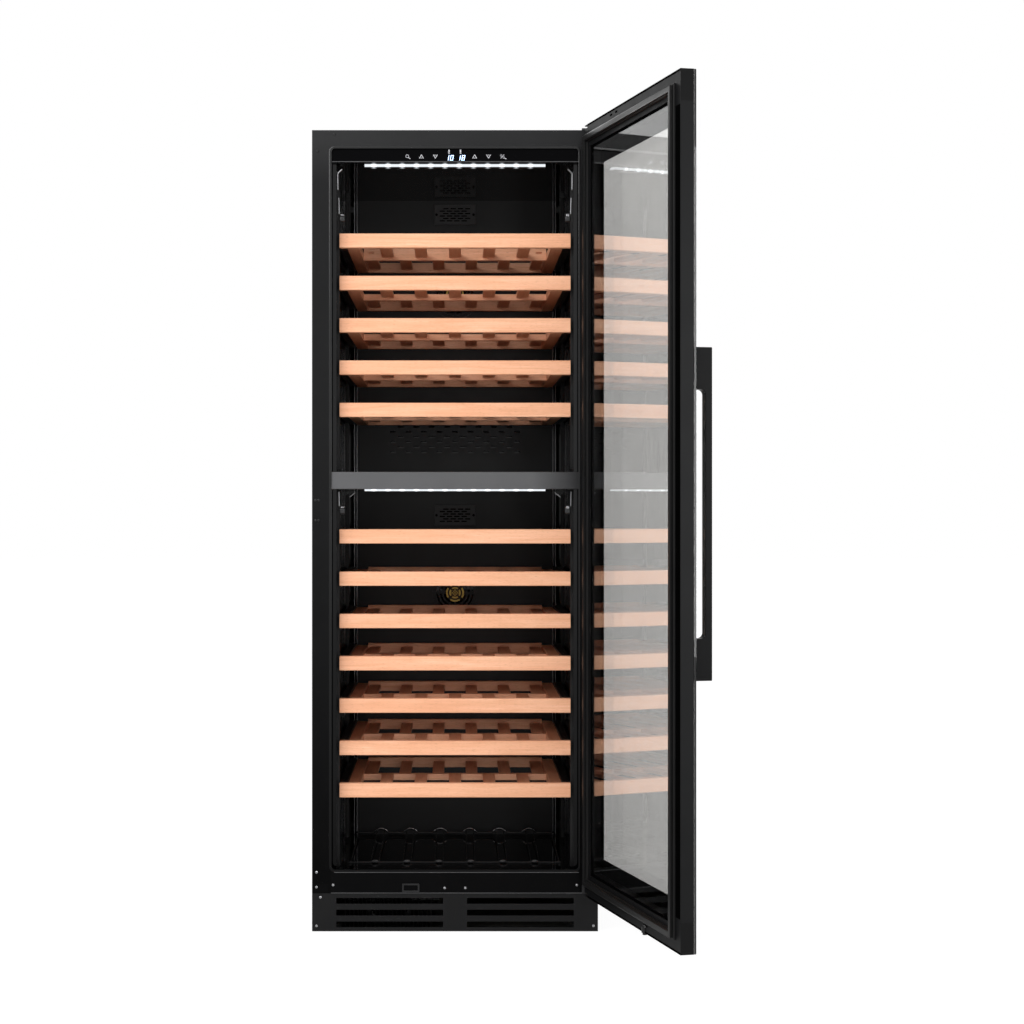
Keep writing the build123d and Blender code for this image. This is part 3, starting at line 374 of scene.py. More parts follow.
def lit_lens():
    """A smoked lamp lens with a thin line of light behind it, blooming over each diode."""
    material, tree, shader, place = new_material(
        "lamp_lens", Roughness=0.3, Specular_IOR_Level=0.15
    )
    axes = make_node(tree, "SeparateXYZ", {"Vector": place}).outputs
    steps = maths(tree, "DIVIDE", maths(tree, "SUBTRACT", axes["X"], FIRST_DIODE), LED_PITCH)
    counted = maths(tree, "MAXIMUM", maths(tree, "ROUND", steps), 0.0)
    nearest = maths(tree, "MINIMUM", counted, DIODES - 1)
    aside = maths(tree, "MULTIPLY", maths(tree, "SUBTRACT", steps, nearest), LED_PITCH)
    line, bloom = 0.0, 0.0
    for height, half in ((UPPER_LIGHT, 0.0029), (LOWER_LIGHT, 0.0022)):
        off = maths(tree, "SUBTRACT", axes["Z"], height)
        band = spread(tree, maths(tree, "ABSOLUTE", off), 1.0, 0.0, half - 0.0006, half + 0.0004)
        flat = make_node(tree, "CombineXYZ", {"X": aside, "Y": off}).outputs["Vector"]
        away = make_node(tree, "VectorMath", {0: flat}, operation="LENGTH").outputs["Value"]
        halo = maths(tree, "POWER", spread(tree, away, 1.0, 0.0, 0.0, 0.0085), 2.0)
        line = maths(tree, "ADD", line, band)
        bloom = maths(tree, "ADD", bloom, halo)
    frosted = noise(tree, place, 500.0, 2.0)
    glow = maths(tree, "ADD", line, maths(tree, "MULTIPLY", bloom, 1.6))
    uneven = maths(tree, "MULTIPLY", glow, spread(tree, frosted, 0.9, 1.1))
    link(tree, uneven, shader, "Emission Strength")
    lit = ramp(tree, frosted, [(0.3, (0.86, 0.93, 1.0)), (0.7, (0.95, 0.98, 1.0))])
    link(tree, lit, shader, "Emission Color")
    smoked = ramp(tree, frosted, [(0.3, (0.004, 0.004, 0.005)), (0.7, (0.007, 0.007, 0.008))])
    link(tree, smoked, shader, "Base Color")
    return material


def lit_mark(name, colour, strength):
    """A printed or lit sign on the control strip, a little uneven as a backlight is."""
    material, tree, shader, place = new_material(name, Roughness=0.5, Emission_Strength=strength)
    patchy = noise(tree, place, 700.0, 2.0)
    dim = tuple(0.8 * c for c in colour)
    glow = ramp(tree, patchy, [(0.3, dim), (0.7, colour)])
    link(tree, glow, shader, "Emission Color")
    link(tree, glow, shader, "Base Color")
    return material


def lacquered_board():
    """A green circuit board with copper runs under its lacquer."""
    material, tree, shader, place = new_material("circuit_lacquer", Roughness=0.3)
    inputs = {
        "Vector": place,
        "Scale": 160.0,
        "Mortar Size": 0.06,
        "Color1": (0.01, 0.10, 0.03, 1),
        "Color2": (0.012, 0.13, 0.045, 1),
        "Mortar": (0.09, 0.23, 0.08, 1),
    }
    blocks = make_node(tree, "TexBrick", inputs)
    link(tree, blocks.outputs["Color"], shader, "Base Color")
    return material


def cast_foam():
    """Cream insulation foam with its skin and small blow holes."""
    material, tree, shader, place = new_material("cast_foam", Specular_IOR_Level=0.2)
    holes = make_node(tree, "TexVoronoi", {"Vector": place, "Scale": 320.0}).outputs["Distance"]
    colour = ramp(tree, holes, [(0.05, (0.42, 0.33, 0.16)), (0.35, (0.74, 0.63, 0.38))])
    link(tree, colour, shader, "Base Color")
    link(tree, spread(tree, holes, 0.95, 0.8), shader, "Roughness")
    bump(tree, shader, holes, 0.0004)
    return material


# the two tones of the black coat, and painted light and shade along an axis: painted shade
# darkening coats towards the foot, painted light brightening the front coat at its head, and the
# door's painted shadow darkening the divider towards its right end
BLACK = (0.0046, 0.0047, 0.0050)
BLACK_LIT = (0.0066, 0.0067, 0.0071)
FOOT_PAINTED_SHADE = ("Z", 0.12, 1.05, 0.28, 1.0)
HEAD_PAINTED_LIGHT = ("Z", 1.56, 1.645, 1.0, 1.75)
DOOR_SHADE = ("X", 0.16, 0.262, 1.0, 0.22)

front_coat = coat(
    "front_black_coat", BLACK, BLACK_LIT, (0.38, 0.48),
    grain=1100.0, level=0.10, painted_shading=(FOOT_PAINTED_SHADE, HEAD_PAINTED_LIGHT),
)
lip_gloss = coat(
    "opening_lip_gloss", BLACK, BLACK_LIT, (0.20, 0.26),
    grain=600.0, depth=0.00001, level=0.34, painted_shading=(FOOT_PAINTED_SHADE,),
)
# a bright metal for thin strips painted as highlights on edges
edge_painted_highlight = coat(
    "painted_edge_highlight", (0.05, 0.05, 0.052), (0.08, 0.08, 0.082), (0.24, 0.32),
    depth=0.00001, level=0.4, metal=0.6,
)
door_inner_coat = coat(
    "door_inner_black_coat", BLACK, BLACK_LIT, (0.42, 0.50),
    grain=1500.0, depth=0.00002, level=0.03,
)
sill_coat = coat(
    "sill_black_coat", (0.0016, 0.0016, 0.0018), (0.0028, 0.0028, 0.0030), (0.40, 0.50),
    grain=1100.0, level=0.03,
)
plinth_coat = coat(
    "plinth_black_coat", (0.0066, 0.0066, 0.0069), (0.0092, 0.0092, 0.0096), (0.40, 0.50),
    grain=1100.0, level=0.10,
)
casing_coat = coat(
    "casing_black_coat", BLACK, BLACK_LIT, (0.42, 0.54),
    grain=700.0, depth=0.00004, level=0.18, dust=0.06,
)
door_coat = coat(
    "door_black_anodised", BLACK, BLACK_LIT, (0.34, 0.44),
    grain=1500.0, depth=0.00002, level=0.11,
)
handle_coat = coat(
    "handle_black_anodised", (0.0036, 0.0036, 0.0038), (0.0054, 0.0054, 0.0057), (0.30, 0.40),
    grain=1600.0, depth=0.00002, level=0.07,
)
cap_plastic = coat(
    "corner_cap_plastic", (0.0034, 0.0034, 0.0035), (0.0048, 0.0048, 0.0050), (0.42, 0.52),
    grain=800.0, depth=0.00005, level=0.09,
)
liner_plastic = coat(
    "liner_black_plastic", (0.0022, 0.0022, 0.0026), (0.0034, 0.0034, 0.0040), (0.04, 0.08),
    grain=300.0, depth=0.000004, painted_shading=(FOOT_PAINTED_SHADE,),
)
duct_plastic = coat(
    "duct_black_plastic", (0.0104, 0.0100, 0.0104), (0.0144, 0.0140, 0.0144), (0.32, 0.42),
    depth=0.00005, level=0.20,
)
vent_plastic = coat(
    "vent_grey_black_plastic", (0.030, 0.030, 0.031), (0.044, 0.044, 0.046), (0.35, 0.45),
    depth=0.00004,
)
catch_plastic = coat(
    "catch_black_plastic", (0.012, 0.012, 0.012), (0.018, 0.018, 0.019), (0.30, 0.42),
    depth=0.00004, level=0.35,
)
strip_gloss = coat(
    "control_strip_gloss", (0.0012, 0.0012, 0.0015), (0.0020, 0.0020, 0.0024), (0.10, 0.16),
    grain=300.0, depth=0.00001, level=0.03,
)
# a black with no gloss: painted shade in slots, channels and behind vent slots, and the matt black
# of the pane's edge tape and small screws
shade_and_matt_black = coat(
    "painted_shade_and_matt_black", (0.0008, 0.0008, 0.0008), (0.0016, 0.0016, 0.0016), (0.8, 0.9),
    depth=0.00001, level=0.0,
)
divider_paint = coat(
    "divider_grey_paint", (0.072, 0.072, 0.075), (0.086, 0.086, 0.090), (0.36, 0.48),
    depth=0.00004, level=0.40, painted_shading=(DOOR_SHADE,),
)
gasket_rubber = coat(
    "gasket_black_rubber", (0.006, 0.006, 0.006), (0.011, 0.011, 0.011), (0.34, 0.50),
    grain=500.0, depth=0.00006, level=0.13,
)
spacer_coat = coat(
    "spacer_black_coat", (0.004, 0.004, 0.004), (0.008, 0.008, 0.008), (0.4, 0.5),
    level=0.2,
)
border_print = coat(
    "glass_border_print", (0.0024, 0.0024, 0.0024), (0.0040, 0.0040, 0.0040), (0.6, 0.7),
    depth=0.000002, level=0.0,
)
screw_black = coat(
    "screw_black_oxide", (0.010, 0.010, 0.010), (0.026, 0.026, 0.027), (0.30, 0.45),
    grain=1800.0, metal=0.4,
)
keeper_plate = coat(
    "keeper_black_plating", (0.010, 0.010, 0.010), (0.020, 0.020, 0.021), (0.30, 0.42),
    grain=1400.0, level=0.25, metal=0.3,
)
fan_plastic = coat(
    "fan_black_plastic", (0.010, 0.010, 0.011), (0.018, 0.018, 0.020), (0.35, 0.5),
    grain=800.0, depth=0.00004, level=0.4,
)
compressor_paint = coat(
    "compressor_black_enamel", (0.008, 0.008, 0.009), (0.020, 0.020, 0.022), (0.18, 0.34),
    grain=260.0, depth=0.0001, level=0.5, dust=0.25,
)
condenser_paint = coat(
    "condenser_black_enamel", (0.0016, 0.0016, 0.0017), (0.0034, 0.0034, 0.0036), (0.46, 0.60),
    grain=420.0, depth=0.00006, level=0.05, dust=0.02,
)
tray_plastic = coat(
    "tray_grey_plastic", (0.26, 0.26, 0.26), (0.36, 0.36, 0.355), (0.35, 0.5),
    grain=500.0, depth=0.00004, level=0.4, dust=0.25,
)
inlet_plastic = coat(
    "inlet_black_plastic", (0.012, 0.012, 0.012), (0.020, 0.020, 0.020), (0.4, 0.55),
    depth=0.00004, level=0.4,
)
foot_plastic = coat(
    "foot_black_plastic", (0.008, 0.008, 0.008), (0.014, 0.014, 0.014), (0.4, 0.55),
    grain=700.0, depth=0.00005, level=0.25, dust=0.1,
)
bracket_coat = coat(
    "bracket_black_coat", (0.008, 0.008, 0.008), (0.014, 0.014, 0.015), (0.3, 0.42),
    grain=1000.0, metal=0.2,
)
rack_coat = coat(
    "rack_black_gloss", (0.006, 0.006, 0.0065), (0.010, 0.010, 0.011), (0.12, 0.22),
    grain=600.0, level=0.6,
)
# a bright metal for a painted highlight laid over the rack's crests
rack_painted_highlight = coat(
    "rack_crest_painted_highlight", (0.22, 0.22, 0.22), (0.34, 0.34, 0.345), (0.20, 0.30),
    grain=600.0, depth=0.00002, level=0.6, metal=0.9,
)
filter_gold = coat(
    "filter_gold_card", (0.40, 0.27, 0.05), (0.62, 0.44, 0.10), (0.30, 0.5),
    depth=0.00006, level=0.5, metal=0.45,
)
filter_dark = coat(
    "filter_black_mesh", (0.010, 0.009, 0.007), (0.02, 0.018, 0.014), (0.5, 0.7),
    depth=0.00006,
)
zinc = zinc_sheet()
fin_metal = bare_metal(
    "fin_aluminium", (0.50, 0.51, 0.53), (0.72, 0.73, 0.75), (0.28, 0.42),
    grain=30.0, turn=(0, pi / 2, 0),
)
slide_steel = bare_metal(
    "slide_black_steel", (0.020, 0.020, 0.021), (0.060, 0.060, 0.062), (0.26, 0.40),
    grain=30.0, turn=(0, 0, pi / 2), metal=0.75,
)
screw_bright = bare_metal(
    "screw_bright_zinc", (0.16, 0.16, 0.165), (0.34, 0.34, 0.35), (0.16, 0.26),
    grain=90.0,
)
bush_brass = bare_metal(
    "bush_brass", (0.46, 0.32, 0.12), (0.66, 0.48, 0.20), (0.25, 0.38),
    grain=60.0,
)
# a bright steel for thin strips painted as highlights on the duct panels' edges
duct_edge_highlight_steel = bare_metal(
    "duct_edge_painted_highlight_steel", (0.20, 0.20, 0.205), (0.34, 0.34, 0.345), (0.28, 0.40),
    grain=60.0, turn=(0, pi / 2, 0), metal=0.6,
)
# a bright steel for the rail-end hooks, its brightness a painted highlight on their moulded edges
hook_painted_highlight_steel = bare_metal(
    "rail_end_painted_highlight_steel", (0.16, 0.16, 0.165), (0.30, 0.30, 0.31), (0.25, 0.38),
    grain=60.0, turn=(0, pi / 2, 0),
)
foam = cast_foam()
circuit = lacquered_board()
wood_along = beech("beech_grain_across_the_shelf", (0, 0, 0))
wood_deep = beech("beech_grain_front_to_back", (0, 0, pi / 2))
inner_pane = pane_glass("inner_clear_glass", (0.94, 0.95, 0.94), (0.91, 0.92, 0.915))
# the outer pane has painted shade at its foot and painted light at its head
outer_pane = pane_glass("outer_grey_glass", (0.78, 0.765, 0.75), (0.75, 0.735, 0.72), 0.90, 1.19)
lamp_lens = lit_lens()
sign_print = lit_mark("sign_white_print", (0.42, 0.42, 0.44), 0.55)
digit_light = lit_mark("digit_blue_white_light", (0.62, 0.78, 1.0), 1.6)
diode_light = lit_mark("diode_white_light", (0.92, 0.97, 1.0), 3.0)


# ---------------------------------------------------------------- pieces
SMOOTH_TURN = radians(50)
ROUNDED_TURN = radians(30)
FLAT_TURN = radians(0.5)
WELD = 1e-6


def mesh_of(name, bm):
    """A mesh with what was built in bm, which is freed."""
    mesh = bpy.data.meshes.new(name)
    bm.to_mesh(mesh)
    bm.free()
    return mesh


def put_in_scene(name, data):
    obj = bpy.data.objects.new(name, data)
    bpy.context.scene.collection.objects.link(obj)
    return obj


def piece(name, bm, body, materials, place=None, smooth=True):
    """Makes the mesh an object that rides on a CAD body, with its place in its mesh."""
    if place is not None:
        bmesh.ops.transform(bm, matrix=place, verts=bm.verts)
    mesh = mesh_of(name, bm)
    for material in materials:
        mesh.materials.append(material)
    mesh.polygons.foreach_set("use_smooth", [smooth] * len(mesh.polygons))
    obj = put_in_scene(name, mesh)
    if smooth:
        by_area = obj.modifiers.new("face_weighted_normals", "WEIGHTED_NORMAL")
        by_area.mode = "FACE_AREA"
        by_area.keep_sharp = True
        mesh.set_sharp_from_angle(angle=SMOOTH_TURN)
    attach(obj, body)
    return obj


def paint_nodes(material, *names):
    """Gives CAD nodes that stay shown their material."""
    for name in names:
        mesh = nodes[name].data
        mesh.materials.clear()
        mesh.materials.append(material)


def bevel(bm, edges, offset, segments, clamp=False):
    bmesh.ops.bevel(
        bm,
        geom=edges,
        offset=offset,
        affect="EDGES",
        segments=segments,
        profile=0.5,
        material=-1,
        clamp_overlap=clamp,
    )


def soften(bm, edge, segments=2):
    """Rounds every edge whose faces turn enough."""
    pairs = [e for e in bm.edges if len(e.link_faces) == 2]
    corners = [e for e in pairs if e.calc_face_angle(0) > ROUNDED_TURN]
    bevel(bm, corners, edge, segments, True)


def merged_copy(node):
    """A closed copy of a CAD node's mesh, its flat faces whole again."""
    bm = bmesh.new()
    bm.from_mesh(nodes[node].data)
    for face in bm.faces:
        face.material_index = 0
    bmesh.ops.remove_doubles(bm, verts=bm.verts, dist=WELD)
    bmesh.ops.dissolve_limit(
        bm, angle_limit=FLAT_TURN, verts=bm.verts, edges=bm.edges, use_dissolve_boundaries=False
    )
    return bm


def islands(bm):
    """The separate solids of a mesh, as lists of faces."""
    left = set(bm.faces)
    found = []
    while left:
        group = [left.pop()]
        for face in group:
            for edge in face.edges:
                for other in edge.link_faces:
                    if other in left:
                        left.remove(other)
                        group.append(other)
        found.append(group)
    return found


def span(points):
    """Lowest and highest corner of some points."""
    return [Vector(end(p[i] for p in points) for i in range(3)) for end in (min, max)]


def reach(faces):
    """Lowest and highest corner of some faces."""
    return span([v.co for face in faces for v in face.verts])


def finished(node, materials, edge=0.0004, segments=2, paint=None):
    """A softened copy that stands for a CAD node; paint may set its faces' materials first."""
    bm = merged_copy(node)
    if paint:
        paint(bm)
    soften(bm, edge, segments)
    obj = piece(node + "_finished", bm, nodes[node]["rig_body"], materials)
    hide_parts(node)
    return obj


def block(size, edge=0.0, segments=2, place=Matrix()):
    """A block about its place, its edges softened."""
    part = bmesh.new()
    bmesh.ops.create_cube(part, size=1.0, matrix=place @ Matrix.Diagonal((*size, 1)))
    if edge:
        bevel(part, part.edges[:], edge, segments)
    return part


def slab(bm, low, high, edge=0.0003, segments=2):
    """A block between two corners with softened edges."""
    low, high = Vector(low), Vector(high)
    join(bm, block(high - low, edge, segments, Matrix.Translation((low + high) / 2)))


def bar(bm, start, end, spare, deep, thick, edge, segments):
    """A block laid from one point to another, longer than the way by the spare."""
    start, end = Vector(start), Vector(end)
    run = end - start
    tilt = Vector((1, 0, 0)).rotation_difference(run.normalized()).to_matrix().to_4x4()
    part = block((run.length + spare, deep, thick), edge, segments)
    join(bm, part, Matrix.Translation((start + end) / 2) @ tilt)


def join(bm, part, place=Matrix(), material=0):
    """Adds a part's mesh to another at a place, in one of the piece's materials."""
    for face in part.faces:
        face.material_index = material
    mesh = mesh_of("joined", part)
    mesh.transform(place)
    bm.from_mesh(mesh)
    bpy.data.meshes.remove(mesh)


def turned(profile, steps=24):
    """A solid turned about z from (radius, height) points that start and end on the axis."""
    part = bmesh.new()
    verts = [part.verts.new((radius, 0, height)) for radius, height in profile]
    edges = [part.edges.new(pair) for pair in zip(verts, verts[1:])]
    bmesh.ops.spin(
        part,
        geom=verts + edges,
        cent=(0, 0, 0),
        axis=(0, 0, 1),
        angle=2 * pi,
        steps=steps,
        use_merge=True,
    )
    bmesh.ops.remove_doubles(part, verts=part.verts, dist=WELD)
    bmesh.ops.recalc_face_normals(part, faces=part.faces)
    return part


def screw_head(radius, height):
    """A pan head with a four-lobed recess, its seat at z 0."""
    recess = 0.52 * radius
    part = turned(
        [
            (0, 0),
            (radius, 0),
            (radius, 0.35 * height),
            (0.93 * radius, 0.68 * height),
            (0.72 * radius, 0.92 * height),
            (recess, height),
            (0.9 * recess, 0.45 * height),
            (0, 0.30 * height),
        ],
        24,
    )
    for vert in part.verts:
        across = Vector((vert.co.x, vert.co.y))
        if vert.co.z > 0.4 * height and 0 < across.length < 1.01 * recess:
            quarter = abs(cos(2 * across.angle_signed(Vector((1, 0)))))
            vert.co.x *= 0.45 + 0.55 * quarter**2
            vert.co.y *= 0.45 + 0.55 * quarter**2
    return part


def bridged(rings, closed=True):
    """Rings of points joined one to the next: all the way round, or with flat ends."""
    part = bmesh.new()
    loops = []
    for ring in rings:
        verts = [part.verts.new(point) for point in ring]
        loops.append([part.edges.new(pair) for pair in zip(verts, verts[1:] + verts[:1])])
    for first, second in zip(loops, loops[1:] + loops[:1] if closed else loops[1:]):
        bmesh.ops.bridge_loops(part, edges=first + second)
    if not closed:
        bmesh.ops.holes_fill(part, edges=loops[0] + loops[-1])
    bmesh.ops.recalc_face_normals(part, faces=part.faces)
    return part


def mitred_ring(profile, low, high):
    """A closed section run round a rectangle in x and z, mitred at its corners.
    Profile points are (distance inwards from the outline, y)."""
    (left, floor), (right, ceiling) = low, high
    lower = [(left, floor, 1, 1), (right, floor, -1, 1)]
    upper = [(right, ceiling, -1, -1), (left, ceiling, 1, -1)]
    corners = lower + upper
    return bridged(
        [[(x + w * across, y, z + w * up) for w, y in profile] for x, z, across, up in corners]
    )


FACING_FRONT = Matrix.Rotation(pi / 2, 4, "X")
FACING_BACK = Matrix.Rotation(-pi / 2, 4, "X")


# ---------------------------------------------------------------- shelves
SLIDE_REACH = 0.228
SLIDE_WIDE = 0.020


def paint_shelf(bm):
    """Grain runs across on the front board and cross rails and front to back on the rest.
    The narrow solids at either side are the steel slides."""
    for group in islands(bm):
        low, high = reach(group)
        size = high - low
        middle = (low + high) / 2
        if abs(middle.x) > SLIDE_REACH and size.x < SLIDE_WIDE:
            index = 2
        else:
            index = 0 if size.x > size.y else 1
        for face in group:
            face.material_index = index


def finish_shelves():
    for number in range(1, 13):
        woods_and_steel = [wood_along, wood_deep, slide_steel]
        finished(f"shelf_{number:02d}", woods_and_steel, 0.0012, 3, paint_shelf)


# ---------------------------------------------------------------- door
CAP_REACH = 0.058
PANE_GAP = 0.0006


def draw_back(bm):
    """Draws faces that meet the outer pane back a little, so that the print alone meets it."""
    for vert in bm.verts:
        if abs(vert.co.y - DOOR_OUTER_PANE) < 1e-4:
            vert.co.y -= PANE_GAP


def in_door_frame(work):
    """The work done on a mesh while it stands in the door's own frame."""

    def done(bm):
        bmesh.ops.transform(bm, matrix=door_place.inverted(), verts=bm.verts)
        work(bm)
        bmesh.ops.transform(bm, matrix=door_place, verts=bm.verts)

    return done


def cut(bm, point, normal):
    """Cuts a mesh's faces along a plane and keeps both sides."""
    whole = bm.verts[:] + bm.edges[:] + bm.faces[:]
    bmesh.ops.bisect_plane(bm, geom=whole, plane_co=point, plane_no=normal)


def paint_leaf(bm):
    """Plastic corner caps show on the end, top and bottom faces of the frame."""
    bm.normal_update()
    draw_back(bm)
    for height in (DOOR_FLOOR + CAP_REACH, DOOR_CEILING - CAP_REACH):
        cut(bm, (0, 0, height), (0, 0, 1))
    for along in (DOOR_START + CAP_REACH, DOOR_END - CAP_REACH):
        cut(bm, (along, 0, 0), (1, 0, 0))
    for face in bm.faces:
        middle = face.calc_center_median()
        near_end = not DOOR_START + CAP_REACH < middle.x < DOOR_END - CAP_REACH
        near_tip = not DOOR_FLOOR + CAP_REACH < middle.z < DOOR_CEILING - CAP_REACH
        outside = (
            middle.x > DOOR_END - 0.002
            or middle.x < DOOR_START + 0.002
            or middle.z < DOOR_FLOOR + 0.002
            or middle.z > DOOR_CEILING - 0.002
        )
        if near_end and near_tip and outside:
            face.material_index = 1
        elif face.normal.y < -0.7:
            face.material_index = 2
        else:
            face.material_index = 0


def door_reach(node):
    """Lowest and highest corner of a door node, in the door's own frame."""
    inverse = door_place.inverted()
    return span([inverse @ v.co for v in nodes[node].data.vertices])


SEAL_WIDTH = 0.016


def fit_gasket():
    """A bellows seal with a magnet crown, run round the door's inner face."""
    low, high = door_reach("door_gasket")
    height = high.y - low.y
    half = [(0.0, 0.0), (0.0, -0.26), (0.0010, -0.36), (0.0026, -0.38), (0.0036, -0.45)]
    half += [(0.0026, -0.52), (0.0036, -0.60), (0.0026, -0.68), (0.0034, -0.78)]
    half += [(0.0020, -0.88), (0.0030, -0.98), (0.0042, -1.0)]
    section = [(w, high.y + share * height) for w, share in half]
    profile = section + [(SEAL_WIDTH - w, y) for w, y in reversed(section)]
    bm = mitred_ring(profile, (low.x, low.z), (high.x, high.z))
    seal = piece("door_seal_bellows", bm, "door", [gasket_rubber], door_place)
    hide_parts("door_gasket")


def fit_glass_border():
    """The black print round the outer pane's inner face, over the frame, spacer and seals."""
    bm = bmesh.new()
    inner = DOOR_OUTER_PANE - 0.0004
    outer = DOOR_OUTER_PANE - 0.0001
    side, head, reveal = 0.060, 0.084, 0.0006
    left, right = DOOR_START + reveal, DOOR_END - reveal
    floor, ceiling = DOOR_FLOOR + reveal, DOOR_CEILING - reveal
    slab(bm, (left, inner, floor), (right, outer, DOOR_FLOOR + head), 0)
    slab(bm, (left, inner, DOOR_CEILING - head), (right, outer, ceiling), 0)
    for start, end in ((left, DOOR_START + side), (DOOR_END - side, right)):
        slab(bm, (start, inner, DOOR_FLOOR + head), (end, outer, DOOR_CEILING - head), 0)
    piece("glass_printed_border", bm, "door", [border_print], door_place, False)


def fit_sight_tape():
    """The matt black band round the inner pane's edge, where it meets the frame's lip."""
    face = door_reach("inner_glass")[0].y
    lip_side, lip_head, width = 0.038, 0.048, 0.0055
    profile = [(0.0, face), (width, face), (width, face - 0.0002), (0.0, face - 0.0002)]
    bm = mitred_ring(
        profile,
        (DOOR_START + lip_side, DOOR_FLOOR + lip_head),
        (DOOR_END - lip_side, DOOR_CEILING - lip_head),
    )
    piece("pane_edge_tape", bm, "door", [shade_and_matt_black], door_place, False)


def fit_door_shade_strips_and_screws():
    """Flat black strips painted as shade: slots in the head rail's inner face, the black edge line
    round it and the channel beside the seal on the free stile; and two screws in the leaf's top."""
    face = DOOR_INNER
    slot_half = 0.0065
    bm = bmesh.new()
    for along in (0.170, 0.203):
        low = (along - slot_half, face - 0.0003, DOOR_CEILING - 0.0120)
        slab(bm, low, (along + slot_half, face + 0.0002, DOOR_CEILING - 0.0080), 0.0003)
    for start, end in ((DOOR_FLOOR, DOOR_FLOOR + 0.0042), (DOOR_CEILING - 0.0042, DOOR_CEILING)):
        low = (DOOR_START + 0.0200, face - 0.0003, start + 0.0002)
        slab(bm, low, (DOOR_END - 0.0010, face + 0.0006, end - 0.0002), 0.0001, 1)
    seal_end = door_reach("door_gasket")[1].x
    low = (seal_end + 0.0030, face - 0.0003, DOOR_FLOOR + CAP_REACH + 0.006)
    slab(bm, low, (DOOR_END - 0.0015, face + 0.0002, DOOR_CEILING - CAP_REACH - 0.006), 0.0001, 1)
    for along in (0.19, 0.215):
        part = screw_head(0.0024, 0.0006)
        join(bm, part, Matrix.Translation((along, 0.0, DOOR_CEILING - 0.0008)))
    piece("door_inner_shade_strips_and_screws", bm, "door", [shade_and_matt_black], door_place, False)


def fit_notch_covers():
    """Thin plates that close the hinge notches above and below the hinge tongues."""
    thick, reach_in = 0.0023, 0.0195
    bm = bmesh.new()
    for floor in (DOOR_FLOOR, DOOR_CEILING - thick):
        high = (DOOR_START + reach_in, DOOR_OUTER_PANE - PANE_GAP, floor + thick)
        slab(bm, (DOOR_START, DOOR_INNER, floor), high, 0.0006)
    piece("hinge_notch_covers", bm, "door", [cap_plastic], door_place)


def finish_door():
    coats = [door_coat, cap_plastic, door_inner_coat]
    finished("door_frame", coats, 0.0006, 2, in_door_frame(paint_leaf))
    finished("handle", [handle_coat], 0.0010, 3)
    paint_nodes(inner_pane, "inner_glass")
    paint_nodes(outer_pane, "outer_glass")
    finished("glass_spacer", [spacer_coat], 0.0003, 1, in_door_frame(draw_back))
    finished("hinge_bushes", [bush_brass], 0.0003)
    finished("lock_housing", [keeper_plate], 0.0003)
    finished("lock_cam", [keeper_plate], 0.0003)
    fit_gasket()
    fit_glass_border()
    fit_sight_tape()
    fit_notch_covers()
    fit_door_shade_strips_and_screws()


# ---------------------------------------------------------------- control strip and lamps
STRIP_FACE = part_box("control_panel")[0].y
MARK_HIGH = 0.00016
KEY_LINE = 1.6140


def stroke(bm, start, end, width):
    """A thin raised bar on the strip between two points in x and z."""
    y = STRIP_FACE - MARK_HIGH / 2
    bar(bm, (start[0], y, start[1]), (end[0], y, end[1]), width, MARK_HIGH, width, 0.00006, 1)


def ring_mark(bm, x, z, radius, width):
    angles = [2 * pi * k / 12 for k in range(12)]
    points = [(x + radius * cos(angle), z + radius * sin(angle)) for angle in angles]
    for first, second in zip(points, points[1:] + points[:1]):
        stroke(bm, first, second, width)


DIGIT_HALF_PITCH = 0.0046
DIGIT_HALF_WIDE = 0.0025
DIGIT_ROW = 0.0024
DIGIT_SLANT = 0.00045
SEGMENTS = {
    "a": ((-1, 2), (1, 2)),
    "b": ((1, 2), (1, 0)),
    "c": ((1, 0), (1, -2)),
    "d": ((-1, -2), (1, -2)),
    "e": ((-1, -2), (-1, 0)),
    "f": ((-1, 0), (-1, 2)),
    "g": ((-1, 0), (1, 0)),
}
LIT = {"1": "bc", "0": "abcdef", "8": "abcdefg"}


def numeral(bm, text, x, z):
    """A slanted seven-segment numeral of two digits."""
    for place, digit in zip((-DIGIT_HALF_PITCH, DIGIT_HALF_PITCH), text):
        for key in LIT[digit]:
            ends = []
            for column, row in SEGMENTS[key]:
                px = x + place + column * DIGIT_HALF_WIDE + row * DIGIT_SLANT
                ends.append((px, z + row * DIGIT_ROW))
            stroke(bm, *ends, 0.0014)


